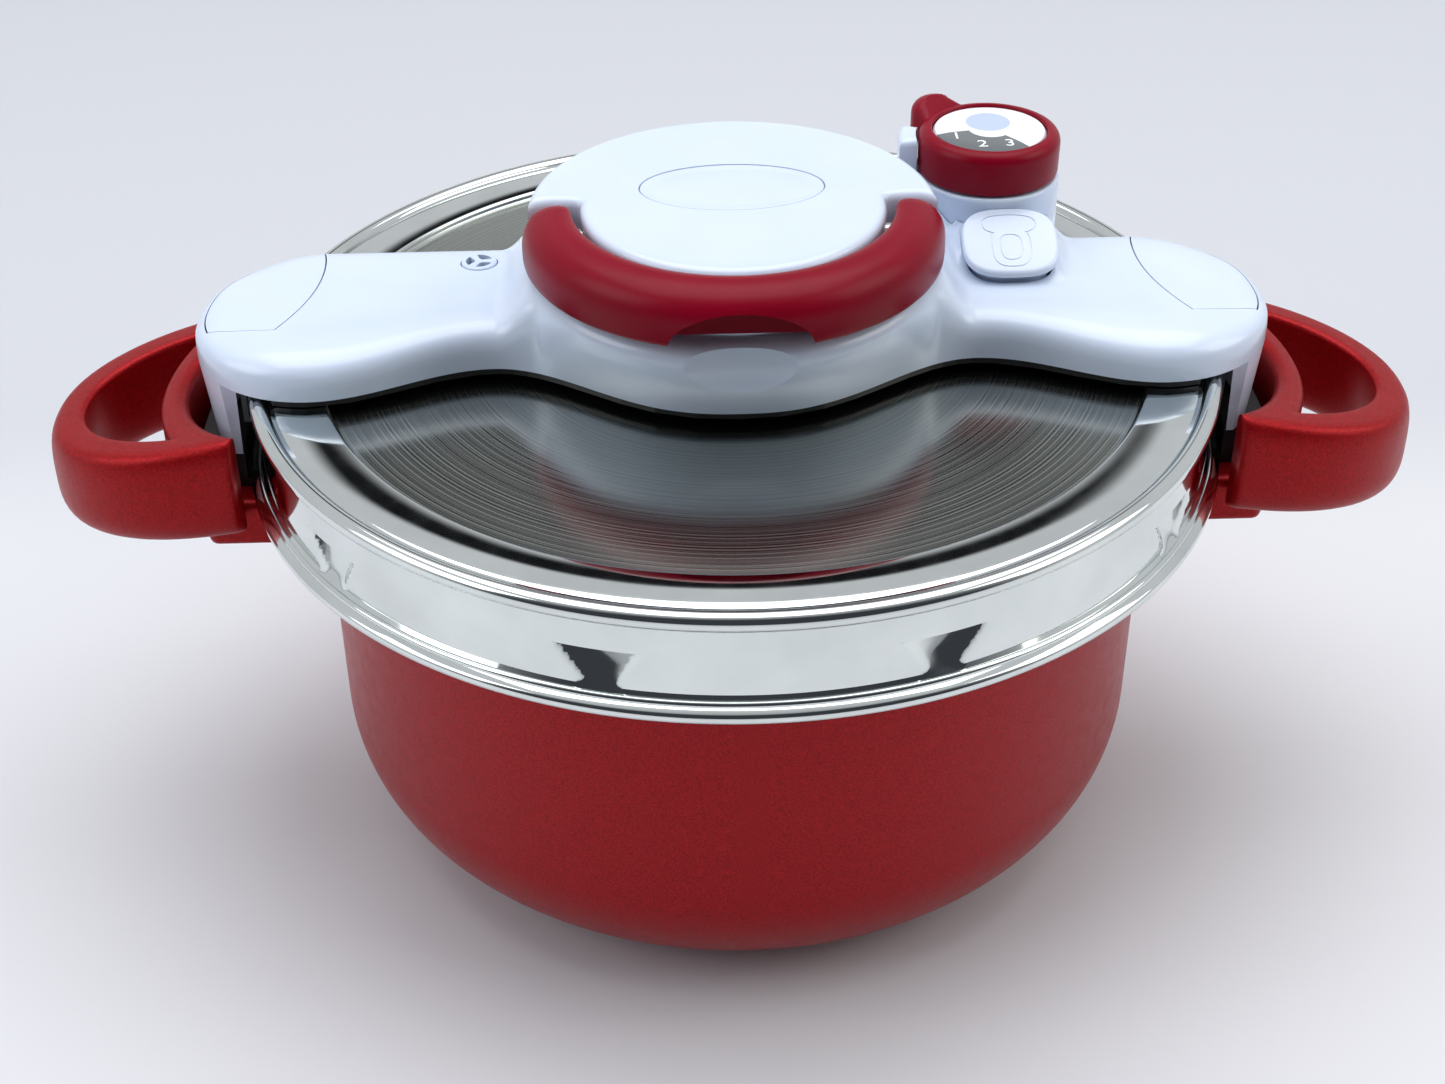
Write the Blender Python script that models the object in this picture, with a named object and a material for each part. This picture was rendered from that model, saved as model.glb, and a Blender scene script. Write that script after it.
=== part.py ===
"""Clamp-lid pressure cooker: a pot, a lid with a bridge, two sliding jaws and a folding bail.

Metres, +Z up. The origin is on the table under the middle of the pot, +X runs along the
bridge, and -Y is the front. Sizes are named here once, and the pieces are built from them.
"""
import math

import bmesh
import bpy
from mathutils import Vector

# Clearances
GAP = 0.0003                   # between pieces that touch
RUN = 0.0005                   # between pieces that slide or turn past each other

# Pot
POT_RADIUS = 0.117
POT_HEIGHT = 0.1365            # top of the rim
POT_WALL = 0.002
POT_CORNER = 0.038             # rounding from wall to floor
RIM_WIDTH = 0.007
RIM_THICK = 0.0025
DISC_THICK = 0.0037            # pressed plate under the floor

# Lid
LID_SHEET = 0.0015
GASKET_HEIGHT = 0.0056
SKIRT_ROOM = 0.006             # from the rim's edge to the skirt
SKIRT_DEPTH = 0.0252           # from the upper bead to the lower one
SKIRT_FLARE = 0.003
TOP_BEAD = 0.0026
LOW_BEAD = 0.002
DISH_STEP = 0.002
DISH_RADIUS = POT_RADIUS

# Bridge
CHASSIS_THICK = 0.0018
COVER_WALL = 0.0025
BEAM_HEIGHT = 0.0124
HUB_HEIGHT = 0.0229
BEAM_FRONT_WAIST = 0.019       # half-widths towards the front
BEAM_FRONT_LOBE = 0.0344
BEAM_BACK = 0.036
SHOULDER = 0.013               # run of the slope from the hub down to the wings
LOBE_RUN = 0.0335              # from the widest place to the end
LEG_ROOM = 0.0039              # from the skirt's bead to the leg
LEG_TOP = 0.0057
LEG_DEPTH = 0.0226
LEG_HALF = 0.0185

# Cap and bail
CAP_HEIGHT = 0.0157
CAP_STEP_Y = 0.003
CAP_WALL = 0.0025
INLAY_SIZE = (0.025, 0.0143)
INLAY_Y = 0.009
BAIL_INNER = 0.0434
BAIL_WIDTH = 0.0136
BAIL_HEIGHT = 0.0155
PIVOT_Y = -0.006
PIVOT_RISE = 0.0085            # above the hub's top
TIP_RADIUS = 0.0084
NOTCH_SIZE = (0.0185, 0.0105)
SHAFT_RADIUS = 0.003

# Jaws
JAW_TRAVEL = 0.0035
JAW_HALF = 0.0145
JAW_SHEET = 0.0015
BAR_SHEET = 0.002
BAR_HALF = 0.007

# Steam valve, indicator and button
VALVE_BEARING = math.radians(28.8)
VALVE_INSET = 0.0458           # from the upper bead to the valve's axis
TURRET_RADIUS = 0.0205
TURRET_HEIGHT = 0.0322
KNOB_RADIUS = 0.020
KNOB_HEIGHT = 0.0124
DIAL_RADIUS = 0.016
VENT_X, VENT_Y, VENT_RADIUS = -0.0708, 0.020, 0.005
INDICATOR_TRAVEL = 0.0025
BUTTON_HALF = (0.0118, 0.0102)
BUTTON_TILT = math.radians(20)
BUTTON_TRAVEL = 0.002
POST_BEARING = 172             # degrees, of the index post beside the knob
POST_SPREAD = 15
POST_REACH = 0.0055            # outside the turret
POST_RISE = 0.0105             # above the turret
LUG_BEARING = math.radians(132)
SAFETY_PLACE = (0.0, -0.028)

# Side handles
HANDLE_REACH = 0.0445          # from the bridge's end to the handle's outside
HANDLE_HALF = 0.044
BAND = 0.0115                  # thickness of the loop, seen from above
SEAT_ROOM = 0.0015             # around the bridge's leg
SCREW_RADIUS = 0.0022

# Sizes that follow the bail's
HUB_RADIUS = BAIL_INNER + BAIL_WIDTH - 0.0015
BEAM_FRONT_HUB = HUB_RADIUS - 0.010
WAIST_X = HUB_RADIUS + 0.0095
CAP_RADIUS = BAIL_INNER - 0.0024
CAP_REAR_RADIUS = BAIL_INNER + 0.0116
HUB_HOLE = CAP_RADIUS - 0.002
SHAFT_END = BAIL_INNER + 0.0091

# Places worked out from the sizes above
RIM_RADIUS = POT_RADIUS + RIM_WIDTH
POT_FLOOR_Z = DISC_THICK + GAP
DISH_UNDER = POT_HEIGHT + 2 * GAP + GASKET_HEIGHT
DISH_TOP = DISH_UNDER + LID_SHEET
LEDGE_TOP = DISH_TOP + DISH_STEP
BEAD_Z = DISH_TOP + 0.0006
BEAD_R = RIM_RADIUS + SKIRT_ROOM + 0.0006
LOW_BEAD_R = BEAD_R + SKIRT_FLARE
LOW_BEAD_Z = BEAD_Z - SKIRT_DEPTH
CHASSIS_Z = LEDGE_TOP + GAP
COVER_Z = CHASSIS_Z + CHASSIS_THICK + GAP
BEAM_TOP = COVER_Z + BEAM_HEIGHT
HUB_TOP = COVER_Z + HUB_HEIGHT
LEG_Z = COVER_Z - LEG_DEPTH
LEG_INNER = LOW_BEAD_R + LOW_BEAD + LEG_ROOM + 0.0023
BEAM_END = LEG_INNER + LEG_TOP
LOBE_X = BEAM_END - LOBE_RUN
CAP_Z = HUB_TOP + GAP
CAP_TOP = CAP_Z + CAP_HEIGHT
PIVOT_Z = HUB_TOP + PIVOT_RISE
VALVE_R = max(BEAD_R - VALVE_INSET, CAP_REAR_RADIUS + TURRET_RADIUS + POST_REACH + 0.002)
VALVE_X = VALVE_R * math.cos(VALVE_BEARING)
VALVE_Y = VALVE_R * math.sin(VALVE_BEARING)
TURRET_TOP = DISH_TOP + TURRET_HEIGHT
JAW_ARM_Z = COVER_Z
JAW_X = BEAD_R + TOP_BEAD + RUN
BAR_Z = JAW_ARM_Z + JAW_SHEET + GAP
HANDLE_CENTRE = BEAM_END - 0.0075

COLOURS = {
    "lacquer": ((0.29, 0.012, 0.014), 0.35, 0.3),
    "handle_red": ((0.30, 0.012, 0.016), 0.42, 0.3),
    "crimson": ((0.23, 0.006, 0.016), 0.40, 0.0),
    "white": ((0.72, 0.78, 0.85), 0.22, 0.0),
    "steel": ((0.62, 0.62, 0.60), 0.16, 1.0),
    "black": ((0.012, 0.012, 0.013), 0.50, 0.0),
    "silicone": ((0.22, 0.22, 0.23), 0.60, 0.0),
    "brass": ((0.60, 0.42, 0.16), 0.30, 1.0),
    "grey": ((0.45, 0.50, 0.58), 0.35, 0.0),
}


def clear_scene():
    for item in list(bpy.data.objects):
        bpy.data.objects.remove(item, do_unlink=True)


def material(name, colour):
    base, rough, metal = COLOURS[colour]
    made = bpy.data.materials.new(name + "_" + colour)
    made.use_nodes = True
    shader = made.node_tree.nodes["Principled BSDF"]
    shader.inputs["Base Color"].default_value = (*base, 1.0)
    shader.inputs["Roughness"].default_value = rough
    shader.inputs["Metallic"].default_value = metal
    return made


def finish(name, bm, colour, origin=(0, 0, 0)):
    """Make an object from bm, with its origin at the given place."""
    bmesh.ops.remove_doubles(bm, verts=bm.verts, dist=0.000001)
    bmesh.ops.recalc_face_normals(bm, faces=bm.faces)
    bmesh.ops.translate(bm, verts=bm.verts, vec=-Vector(origin))
    mesh = bpy.data.meshes.new(name)
    bm.to_mesh(mesh)
    bm.free()
    made = bpy.data.objects.new(name, mesh)
    made.location = origin
    bpy.context.scene.collection.objects.link(made)
    if colour:
        mesh.materials.append(material(name, colour))
        mesh.shade_smooth()
        mesh.set_sharp_from_angle(angle=math.radians(35))
    else:
        made.hide_render = True
        made.display_type = 'WIRE'
    return made


def turned(name, profile, colour, centre=(0, 0), steps=32, origin=(0, 0, 0)):
    """Turn a closed outline of (radius, z) points about a vertical axis."""
    bm = bmesh.new()
    verts = [bm.verts.new((centre[0] + r, centre[1], z)) for r, z in profile]
    loop = zip(verts, verts[1:] + verts[:1])
    on_axis = 0.0000001
    edges = [bm.edges.new(pair) for pair in loop
             if not all(abs(v.co.x - centre[0]) < on_axis for v in pair)]
    bmesh.ops.spin(bm, geom=verts + edges, cent=(centre[0], centre[1], 0), axis=(0, 0, 1),
                   steps=steps, angle=2 * math.pi, use_merge=True)
    return finish(name, bm, colour, origin)


def prism(name, outline, low, high, colour, origin=(0, 0, 0)):
    """Stand an outline of (x, y) points up between two heights."""
    bm = bmesh.new()
    face = bm.faces.new([bm.verts.new((x, y, low)) for x, y in outline])
    raised = bmesh.ops.extrude_face_region(bm, geom=[face])["geom"]
    tops = [item for item in raised if isinstance(item, bmesh.types.BMVert)]
    bmesh.ops.translate(bm, verts=tops, vec=(0, 0, high - low))
    return finish(name, bm, colour, origin)


def side_prism(name, outline, start, end, colour, axis="y", origin=(0, 0, 0)):
    """Stretch an outline along Y, from (x, z) points, or along X, from (y, z) points."""
    bm = bmesh.new()
    if axis == "y":
        points = [(a, start, b) for a, b in outline]
        step = (0, end - start, 0)
    else:
        points = [(start, a, b) for a, b in outline]
        step = (end - start, 0, 0)
    face = bm.faces.new([bm.verts.new(p) for p in points])
    raised = bmesh.ops.extrude_face_region(bm, geom=[face])["geom"]
    tops = [item for item in raised if isinstance(item, bmesh.types.BMVert)]
    bmesh.ops.translate(bm, verts=tops, vec=step)
    return finish(name, bm, colour, origin)


def arc(centre, radius, start, end, count):
    """Points on a circle, from one angle in degrees to another."""
    points = []
    for k in range(count + 1):
        angle = math.radians(start + (end - start) * k / count)
        points.append((centre[0] + radius * math.cos(angle), centre[1] + radius * math.sin(angle)))
    return points


def ring_outline(centre, half_x, half_y, count=32):
    points = []
    for k in range(count):
        angle = 2 * math.pi * k / count
        points.append((centre[0] + half_x * math.cos(angle), centre[1] + half_y * math.sin(angle)))
    return points


def box_outline(x0, x1, y0, y1):
    return [(x0, y0), (x1, y0), (x1, y1), (x0, y1)]


def boolean(target, tool, operation='DIFFERENCE'):
    step = target.modifiers.new(operation.lower(), 'BOOLEAN')
    step.operation = operation
    step.solver = 'EXACT'
    step.object = tool


def round_edges(target, width, segments=2, angle=50):
    step = target.modifiers.new("round", 'BEVEL')
    step.width = width
    step.segments = segments
    step.limit_method = 'ANGLE'
    step.angle_limit = math.radians(angle)
    step.use_clamp_overlap = True


def rod(name, radius, start, end, colour, steps=20, y=PIVOT_Y, z=PIVOT_Z, origin=(0, 0, 0)):
    """A round bar along X."""
    outline = ring_outline((y, z), radius, radius, steps)
    return side_prism(name, outline, start, end, colour, axis="x", origin=origin)


def drill(targets, name, centre, radius, low, high, steps=16):
    """Cut the same round hole through each target, between two heights."""
    tool = turned(name, [(0, low), (radius, low), (radius, high), (0, high)], None,
                  centre=centre, steps=steps)
    for target in targets:
        boolean(target, tool)


def both_sides():
    return (("left", -1), ("right", 1))


# ---------------------------------------------------------------- pot

def pot():
    inner = POT_RADIUS - POT_WALL
    corner = POT_RADIUS - POT_CORNER
    floor_top = POT_FLOOR_Z + 0.0025
    outline = [(0, POT_FLOOR_Z)]
    outline += arc((corner, POT_FLOOR_Z + POT_CORNER), POT_CORNER, -90, 0, 7)
    outline += [(POT_RADIUS, POT_HEIGHT - RIM_THICK),
                (RIM_RADIUS - 0.0006, POT_HEIGHT - RIM_THICK),
                (RIM_RADIUS, POT_HEIGHT - RIM_THICK + 0.0006),
                (RIM_RADIUS, POT_HEIGHT - 0.0008),
                (RIM_RADIUS - 0.0008, POT_HEIGHT),
                (inner + 0.0012, POT_HEIGHT),
                (inner, POT_HEIGHT - 0.0012)]
    radius = POT_CORNER - POT_WALL
    outline += arc((inner - radius, floor_top + radius), radius, 0, -90, 6)
    outline += [(0, floor_top)]
    turned("pot_body", outline, "lacquer", steps=56)

    edge = POT_RADIUS - POT_CORNER + 0.001
    turned("base_disc", [(0, 0), (edge - 0.001, 0), (edge, 0.001), (edge, DISC_THICK), (0, DISC_THICK)],
           "steel", steps=48)


# ---------------------------------------------------------------- side handles

def superellipse(a, b, power, t):
    c, s = math.cos(t), math.sin(t)
    x = a * math.copysign(abs(c) ** (2 / power), c)
    y = b * math.copysign(abs(s) ** (2 / power), s)
    return x, y


def handle_loop():
    """The loop seen from above is a bent oval, and its section is a tall rounded band."""
    seat = BEAM_END + SEAT_ROOM
    root = LOW_BEAD_R + LOW_BEAD + 0.002
    hole_x = seat + BAND
    reach = BEAM_END + HANDLE_REACH - HANDLE_CENTRE
    outer, inner = [], []
    turn = 22
    for k in range(turn + 1):
        t = -math.pi / 2 + math.pi * k / turn
        x, y = superellipse(reach, HANDLE_HALF, 2.2, t)
        outer.append((HANDLE_CENTRE + x, y))
        x, y = superellipse(reach - BAND, HANDLE_HALF - BAND, 2.2, t * 0.86)
        inner.append((max(HANDLE_CENTRE + x, hole_x), y))
    pot_side = 12
    last = inner[-1][1]
    for k in range(1, pot_side):
        y = HANDLE_HALF - 2 * HANDLE_HALF * k / pot_side
        near = seat if abs(y) < LEG_HALF + 0.007 else root
        outer.append((math.sqrt(max(near ** 2 - y ** 2, 0)), y))
        inner.append((hole_x - 0.0012, last - 2 * last * k / pot_side))
    return outer, inner


def handle_heights(x):
    """The handle droops a little towards its outside."""
    along = (x - LOW_BEAD_R) / (BEAM_END + HANDLE_REACH - LOW_BEAD_R)
    drop = max(0.0, min(1.0, along))
    top = POT_HEIGHT + 0.0030 - 0.0120 * drop
    low = POT_HEIGHT - 0.0275 - 0.0080 * drop
    return low, top


def side_handle(label, side):
    outer, inner = handle_loop()
    bm = bmesh.new()
    rings = []
    ribs = 10
    for (ox, oy), (ix, iy) in zip(outer, inner):
        low, top = handle_heights((ox + ix) / 2)
        middle = Vector(((ox + ix) / 2, (oy + iy) / 2, (low + top) / 2))
        across = Vector(((ox - ix) / 2, (oy - iy) / 2, 0))
        ring = []
        for j in range(ribs):
            u, v = superellipse(1.0, (top - low) / 2, 3.2, 2 * math.pi * (j + 0.5) / ribs)
            place = middle + across * u + Vector((0, 0, v))
            ring.append(bm.verts.new((side * place.x, place.y, place.z)))
        rings.append(ring)
    for a, b in zip(rings, rings[1:] + rings[:1]):
        for j in range(ribs):
            bm.faces.new((a[j], a[(j + 1) % ribs], b[(j + 1) % ribs], b[j]))
    handle = finish("side_handle_" + label, bm, "handle_red")

    shoe_low, shoe_top = handle_shoe()
    shoe = prism("handle_shoe_tool_" + label, foot_outline(side, POT_RADIUS + 0.008,
                 BEAM_END + SEAT_ROOM + BAND - 0.003, 0.024), shoe_low, shoe_top, None)
    boolean(handle, shoe, 'UNION')
    drill([handle], "handle_screw_tool_" + label, (side * screw_x(), 0), SCREW_RADIUS + 0.0004,
          shoe_low - 0.005, shoe_top - 0.002)


def handle_shoe():
    """Heights of the handle's lower foot, which the bracket carries."""
    return POT_HEIGHT - 0.0370, POT_HEIGHT - 0.0265


def screw_x():
    return POT_RADIUS + 0.017


def foot_outline(side, near, far, half):
    """A block that follows the pot's wall on its inner side."""
    count = 6
    points = []
    for k in range(count + 1):
        y = -half + 2 * half * k / count
        points.append((side * math.sqrt(near ** 2 - y ** 2), y))
    points += [(side * math.sqrt(far ** 2 - half ** 2), half), (side * far, half * 0.4),
               (side * far, -half * 0.4), (side * math.sqrt(far ** 2 - half ** 2), -half)]
    return points


def handle_fittings(label, side):
    shoe_low, shoe_top = handle_shoe()
    skirt_bottom = LOW_BEAD_Z - LOW_BEAD
    insert = prism("handle_insert_" + label,
                   foot_outline(side, POT_RADIUS + 0.003, BEAM_END + SEAT_ROOM - RUN, LEG_HALF + 0.002),
                   shoe_top + GAP, LEG_Z - 0.0015, "black")
    clear_skirt = turned("insert_skirt_tool_" + label,
                         [(POT_RADIUS - 0.01, skirt_bottom - 0.001),
                          (LOW_BEAD_R + LOW_BEAD + 0.0012, skirt_bottom - 0.001),
                          (LOW_BEAD_R + LOW_BEAD + 0.0012, LEG_Z + 0.01),
                          (POT_RADIUS - 0.01, LEG_Z + 0.01)], None, steps=96)
    boolean(insert, clear_skirt)
    drill([insert], "insert_wall_tool_" + label, (0, 0), POT_RADIUS + 0.003, shoe_low, LEG_Z + 0.02, 96)

    bracket = prism("handle_bracket_" + label,
                    foot_outline(side, POT_RADIUS + GAP, POT_RADIUS + 0.0045, 0.021),
                    shoe_low - 0.0125, shoe_top - 0.001, "steel")
    shelf = prism("bracket_shelf_tool_" + label,
                  foot_outline(side, POT_RADIUS + 0.003, POT_RADIUS + 0.025, 0.018),
                  shoe_low - GAP - 0.0022, shoe_low - GAP, None)
    boolean(bracket, shelf, 'UNION')
    drill([bracket], "bracket_wall_tool_" + label, (0, 0), POT_RADIUS + GAP, 0, 2 * POT_HEIGHT, 96)
    drill([bracket], "bracket_hole_tool_" + label, (side * screw_x(), 0), SCREW_RADIUS + 0.0004,
          shoe_low - 0.01, shoe_top)
    under = shoe_low - GAP - 0.0022 - GAP
    turned("handle_screw_" + label,
           [(0, under - 0.0024), (0.0038, under - 0.0024), (0.0046, under - 0.0012), (0.0046, under),
            (SCREW_RADIUS, under), (SCREW_RADIUS, shoe_top - 0.003), (0, shoe_top - 0.003)],
           "steel", centre=(side * screw_x(), 0), steps=16)


# ---------------------------------------------------------------- lid

def lid():
    skirt_top = BEAD_R + 0.0008
    outline = [(0, DISH_TOP), (DISH_RADIUS - 0.002, DISH_TOP), (DISH_RADIUS + 0.001, LEDGE_TOP),
               (BEAD_R - 0.0022, LEDGE_TOP)]
    outline += arc((BEAD_R, BEAD_Z), TOP_BEAD, 120, -55, 5)
    outline += [(skirt_top + 0.0003, BEAD_Z - 0.0034)]
    outline += arc((LOW_BEAD_R, LOW_BEAD_Z), LOW_BEAD, 105, -100, 6)
    outline += [(LOW_BEAD_R - 0.0018, LOW_BEAD_Z + 0.001),
                (LOW_BEAD_R - 0.0018, LOW_BEAD_Z + 0.003),
                (skirt_top - 0.0012, BEAD_Z - 0.0040), (BEAD_R - 0.0016, DISH_TOP - 0.0010),
                (BEAD_R - 0.0036, LEDGE_TOP - LID_SHEET), (DISH_RADIUS + 0.0015, LEDGE_TOP - LID_SHEET),
                (DISH_RADIUS - 0.0015, DISH_UNDER), (0, DISH_UNDER)]
    shell = turned("lid_shell", outline, "steel", steps=64)
    window_z = lip_z()
    for label, side in both_sides():
        near = side * (RIM_RADIUS + 0.003)
        far = side * (LOW_BEAD_R + 0.01)
        window = prism("lid_window_tool_" + label,
                       box_outline(min(near, far), max(near, far), -JAW_HALF - RUN, JAW_HALF + RUN),
                       window_z - RUN, window_z + JAW_SHEET + RUN, None)
        boolean(shell, window)
    for name, x, y, radius in lid_holes():
        drill([shell], name + "_hole_tool", (x, y), radius, DISH_UNDER - 0.01, LEDGE_TOP + 0.01)

    inner, outer = POT_RADIUS - 0.004, RIM_RADIUS + 0.001
    low, high = POT_HEIGHT + GAP, DISH_UNDER - GAP
    turned("gasket", [(inner, low + 0.0016), (inner + 0.004, low), (outer, low), (outer, high),
                      (inner, high), (inner, high - 0.0014), (outer - 0.005, high - 0.0022),
                      (outer - 0.005, low + 0.0018)], "silicone", steps=48)


def lip_z():
    """Height of the jaws' lips, just under the pot's rim."""
    return POT_HEIGHT - RIM_THICK - 0.0028


def bolt_places():
    return [("left", VENT_X - 0.0272, 0.019), ("right", VALVE_X + 0.0237, VALVE_Y - 0.02535)]


def lid_holes():
    """Each fitting that goes through the lid: its name, place and hole radius."""
    holes = [("valve_nozzle", VALVE_X, VALVE_Y, 0.0053), ("indicator", VENT_X, VENT_Y, 0.0043),
             ("safety", *SAFETY_PLACE, 0.0058)]
    holes += [("bolt_" + label, x, y, 0.0023) for label, x, y in bolt_places()]
    return holes


# ---------------------------------------------------------------- bridge

def ease(t):
    """0 to 1 along half a cosine wave."""
    t = max(0.0, min(1.0, t))
    return (1 - math.cos(math.pi * t)) / 2


def end_taper(x, run):
    """Half-widths close in an ellipse over the last stretch of the bridge."""
    t = max(0.0, (x - LOBE_X) / run)
    return math.sqrt(max(0.0, 1 - t * t))


def front_half(x, run=LOBE_RUN):
    x = abs(x)
    if x < WAIST_X:
        fall = 1 - ease((x / WAIST_X) ** 1.25)
        return BEAM_FRONT_WAIST + (BEAM_FRONT_HUB - BEAM_FRONT_WAIST) * fall
    rise = ease((x - WAIST_X) / (LOBE_X - WAIST_X))
    return (BEAM_FRONT_WAIST + (BEAM_FRONT_LOBE - BEAM_FRONT_WAIST) * rise) * end_taper(x, run)


def back_half(x, run=LOBE_RUN):
    x = abs(x)
    hub = (HUB_RADIUS + 0.001 - BEAM_BACK) * (1 - ease(x / (WAIST_X * 0.95)))
    return (BEAM_BACK + hub) * end_taper(x, run)


def beam_height(x):
    """Top of the bridge above its foot: high at the hub, low and rounded at the ends."""
    x = abs(x)
    step = 1 - ease((x - HUB_RADIUS + 0.003) / SHOULDER)
    height = BEAM_HEIGHT + (HUB_HEIGHT - BEAM_HEIGHT) * step
    height -= 0.0030 * ease((x - LOBE_X) / LOBE_RUN)
    last = 0.0085
    past = (x - (BEAM_END - last)) / last
    if past > 0:
        height -= 0.0052 * (1 - math.sqrt(max(0.0, 1 - past * past)))
    return height


def cover_stations():
    """Places along X from the middle to the end, close together where the outline bends."""
    places = [HUB_RADIUS * share for share in
              (0, 0.20, 0.40, 0.56, 0.70, 0.83, 0.94, 1.01, 1.08, 1.15, 1.26)]
    last = places[-1]
    count = 4
    places += [last + (LOBE_X - last) * k / count for k in range(1, count + 1)]
    bend = 11
    places += [LOBE_X + LOBE_RUN * math.sin(math.radians(86) * k / bend) for k in range(1, bend + 1)]
    return places


def leg_start():
    return LOBE_X + LOBE_RUN * math.sqrt(1 - (LEG_HALF / BEAM_FRONT_LOBE) ** 2)


def cover_section(x, inset):
    """Points around the bridge at one place, from the front foot over the top to the back foot.

    With inset above 0 the section belongs to the hollow inside.
    """
    size = abs(x)
    if inset:
        ratio = (LEG_INNER - LOBE_X) / LOBE_RUN
        here = size if size < LOBE_X else LOBE_X + (size - LOBE_X) * ratio
        blunt = end_taper(size, LOBE_RUN)
        fill = (1 - (1 - blunt ** 2) ** 1.25) ** 0.4 / max(blunt, 0.001)
        front = front_half(size) * min(fill, 1.12) - inset
        back = back_half(size) * min(fill, 1.12) - inset
    else:
        here = size
        front = front_half(size)
        back = back_half(size)
    top = COVER_Z + beam_height(size) - inset
    foot = LEG_Z if size > leg_start() else COVER_Z
    overhang = 0.0092 * (1 - ease(size / (HUB_RADIUS + 0.0025)))
    count = 12
    points = []
    lean = 0.0022 if size > leg_start() and not inset else 0.0
    points.append((here - lean, -max(front, 0.0008), foot))
    for k in range(count + 1):
        angle = math.pi * k / count
        y, z = superellipse(1.0, 1.0, 4.2, angle)
        half = front if y > 0 else back
        rise = abs(z)
        grow = overhang * rise if y > 0 else 0.0
        points.append((here, -y * (max(half, 0.0008) + grow), COVER_Z + (top - COVER_Z) * rise))
    points.append((here - lean, max(back, 0.0008), foot))
    step = math.copysign(1, x) if x else 1
    return [(step * px, py, pz) for px, py, pz in points]


def cover_body(name, colour):
    right = cover_stations()
    places = [-x for x in reversed(right[1:])] + right
    bm = bmesh.new()
    skins = []
    for inset in (0.0, COVER_WALL):
        skins.append([[bm.verts.new(p) for p in cover_section(x, inset)] for x in places])
    for rows in skins:
        for a, b in zip(rows, rows[1:]):
            for j in range(len(a) - 1):
                bm.faces.new((a[j], a[j + 1], b[j + 1], b[j]))
        bm.faces.new(rows[0])
        bm.faces.new(rows[-1])
    outer, inner = skins
    for j in (0, -1):
        for k in range(len(outer) - 1):
            bm.faces.new((outer[k][j], outer[k + 1][j], inner[k + 1][j], inner[k][j]))
    for k in (0, -1):
        bm.faces.new((outer[k][0], inner[k][0], inner[k][-1], outer[k][-1]))
    return finish(name, bm, colour)


def pad_outline(side, grow):
    """A leaf: it follows the bridge's end outside, and a hollow curve inside."""
    edge = 0.0034 - grow
    points = []
    count = 12
    for k in range(count + 1):
        angle = math.radians(-22 + 92 * k / count)
        half = BEAM_BACK if angle > 0 else BEAM_FRONT_LOBE
        points.append((LOBE_X + (LOBE_RUN - edge) * math.cos(angle), (half - edge) * math.sin(angle)))
    inner = arc((LOBE_X + 0.0330, 0.0165), 0.0325 + grow, 148, 234, 8)
    points += inner
    return [(side * x, y) for x, y in points]


def turret_tool(name, grow):
    """The space that the valve's turret takes: its drum and the index post beside it."""
    low, high = DISH_TOP - 0.005, TURRET_TOP + 0.03
    drum = turned(name, [(0, low), (TURRET_RADIUS + grow, low), (TURRET_RADIUS + grow, high), (0, high)],
                  None, centre=(VALVE_X, VALVE_Y), steps=48)
    post = prism(name + "_post", post_outline(grow), low, high, None)
    boolean(drum, post, 'UNION')
    return drum


def post_outline(grow):
    """A block outside the turret, as wide as an angle, and wider all round by grow."""
    inner, outer = TURRET_RADIUS - 0.003, TURRET_RADIUS + POST_REACH + grow
    spread = POST_SPREAD + math.degrees(grow / TURRET_RADIUS)
    start, end = POST_BEARING - spread, POST_BEARING + spread
    centre = (VALVE_X, VALVE_Y)
    return arc(centre, outer, start, end, 6) + arc(centre, inner, end, start, 6)


def bridge():
    cover = cover_body("beam_cover", "white")
    turret_space = turret_tool("turret_space_tool", GAP)
    boolean(cover, turret_space)
    drill([cover], "hub_hole_tool", (0, 0), HUB_HOLE, HUB_TOP - 0.012, HUB_TOP + 0.01, 48)
    vent = (VENT_X, VENT_Y)
    drill([cover], "vent_hole_tool", vent, VENT_RADIUS + GAP, BEAM_TOP - 0.012, BEAM_TOP + 0.01, 24)
    for label, side in both_sides():
        pad = cover_body("end_pad_" + label, "white")
        keep = prism("pad_keep_tool_" + label, pad_outline(side, 0), COVER_Z + 0.004, HUB_TOP, None)
        boolean(pad, keep, 'INTERSECT')
        space = prism("pad_space_tool_" + label, pad_outline(side, GAP), COVER_Z + 0.003,
                      HUB_TOP + 0.001, None)
        boolean(cover, space)
    button_space = prism("button_space_tool", button_outline(RUN), BEAM_TOP - 0.008,
                         HUB_TOP + 0.01, None)
    boolean(cover, button_space)

    under, top = BEAM_TOP - 0.0024, BEAM_TOP + 0.0004
    grille = turned("vent_grille", [(0, under), (VENT_RADIUS, under), (VENT_RADIUS, top - 0.0006),
                                    (VENT_RADIUS - 0.0008, top), (0, top)],
                    "white", centre=vent, steps=24)
    for k in range(3):
        outline = slot_outline(vent, 60 + 120 * k)
        boolean(grille, prism("vent_slot_tool_%d" % k, outline, under - 0.002, top + 0.002, None))

    chassis()


def slot_outline(centre, bearing):
    """A short slot that follows the grille's edge."""
    far = arc(centre, VENT_RADIUS * 0.72, bearing - 38, bearing + 38, 5)
    return far + arc(centre, VENT_RADIUS * 0.30, bearing + 30, bearing - 30, 3)


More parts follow.
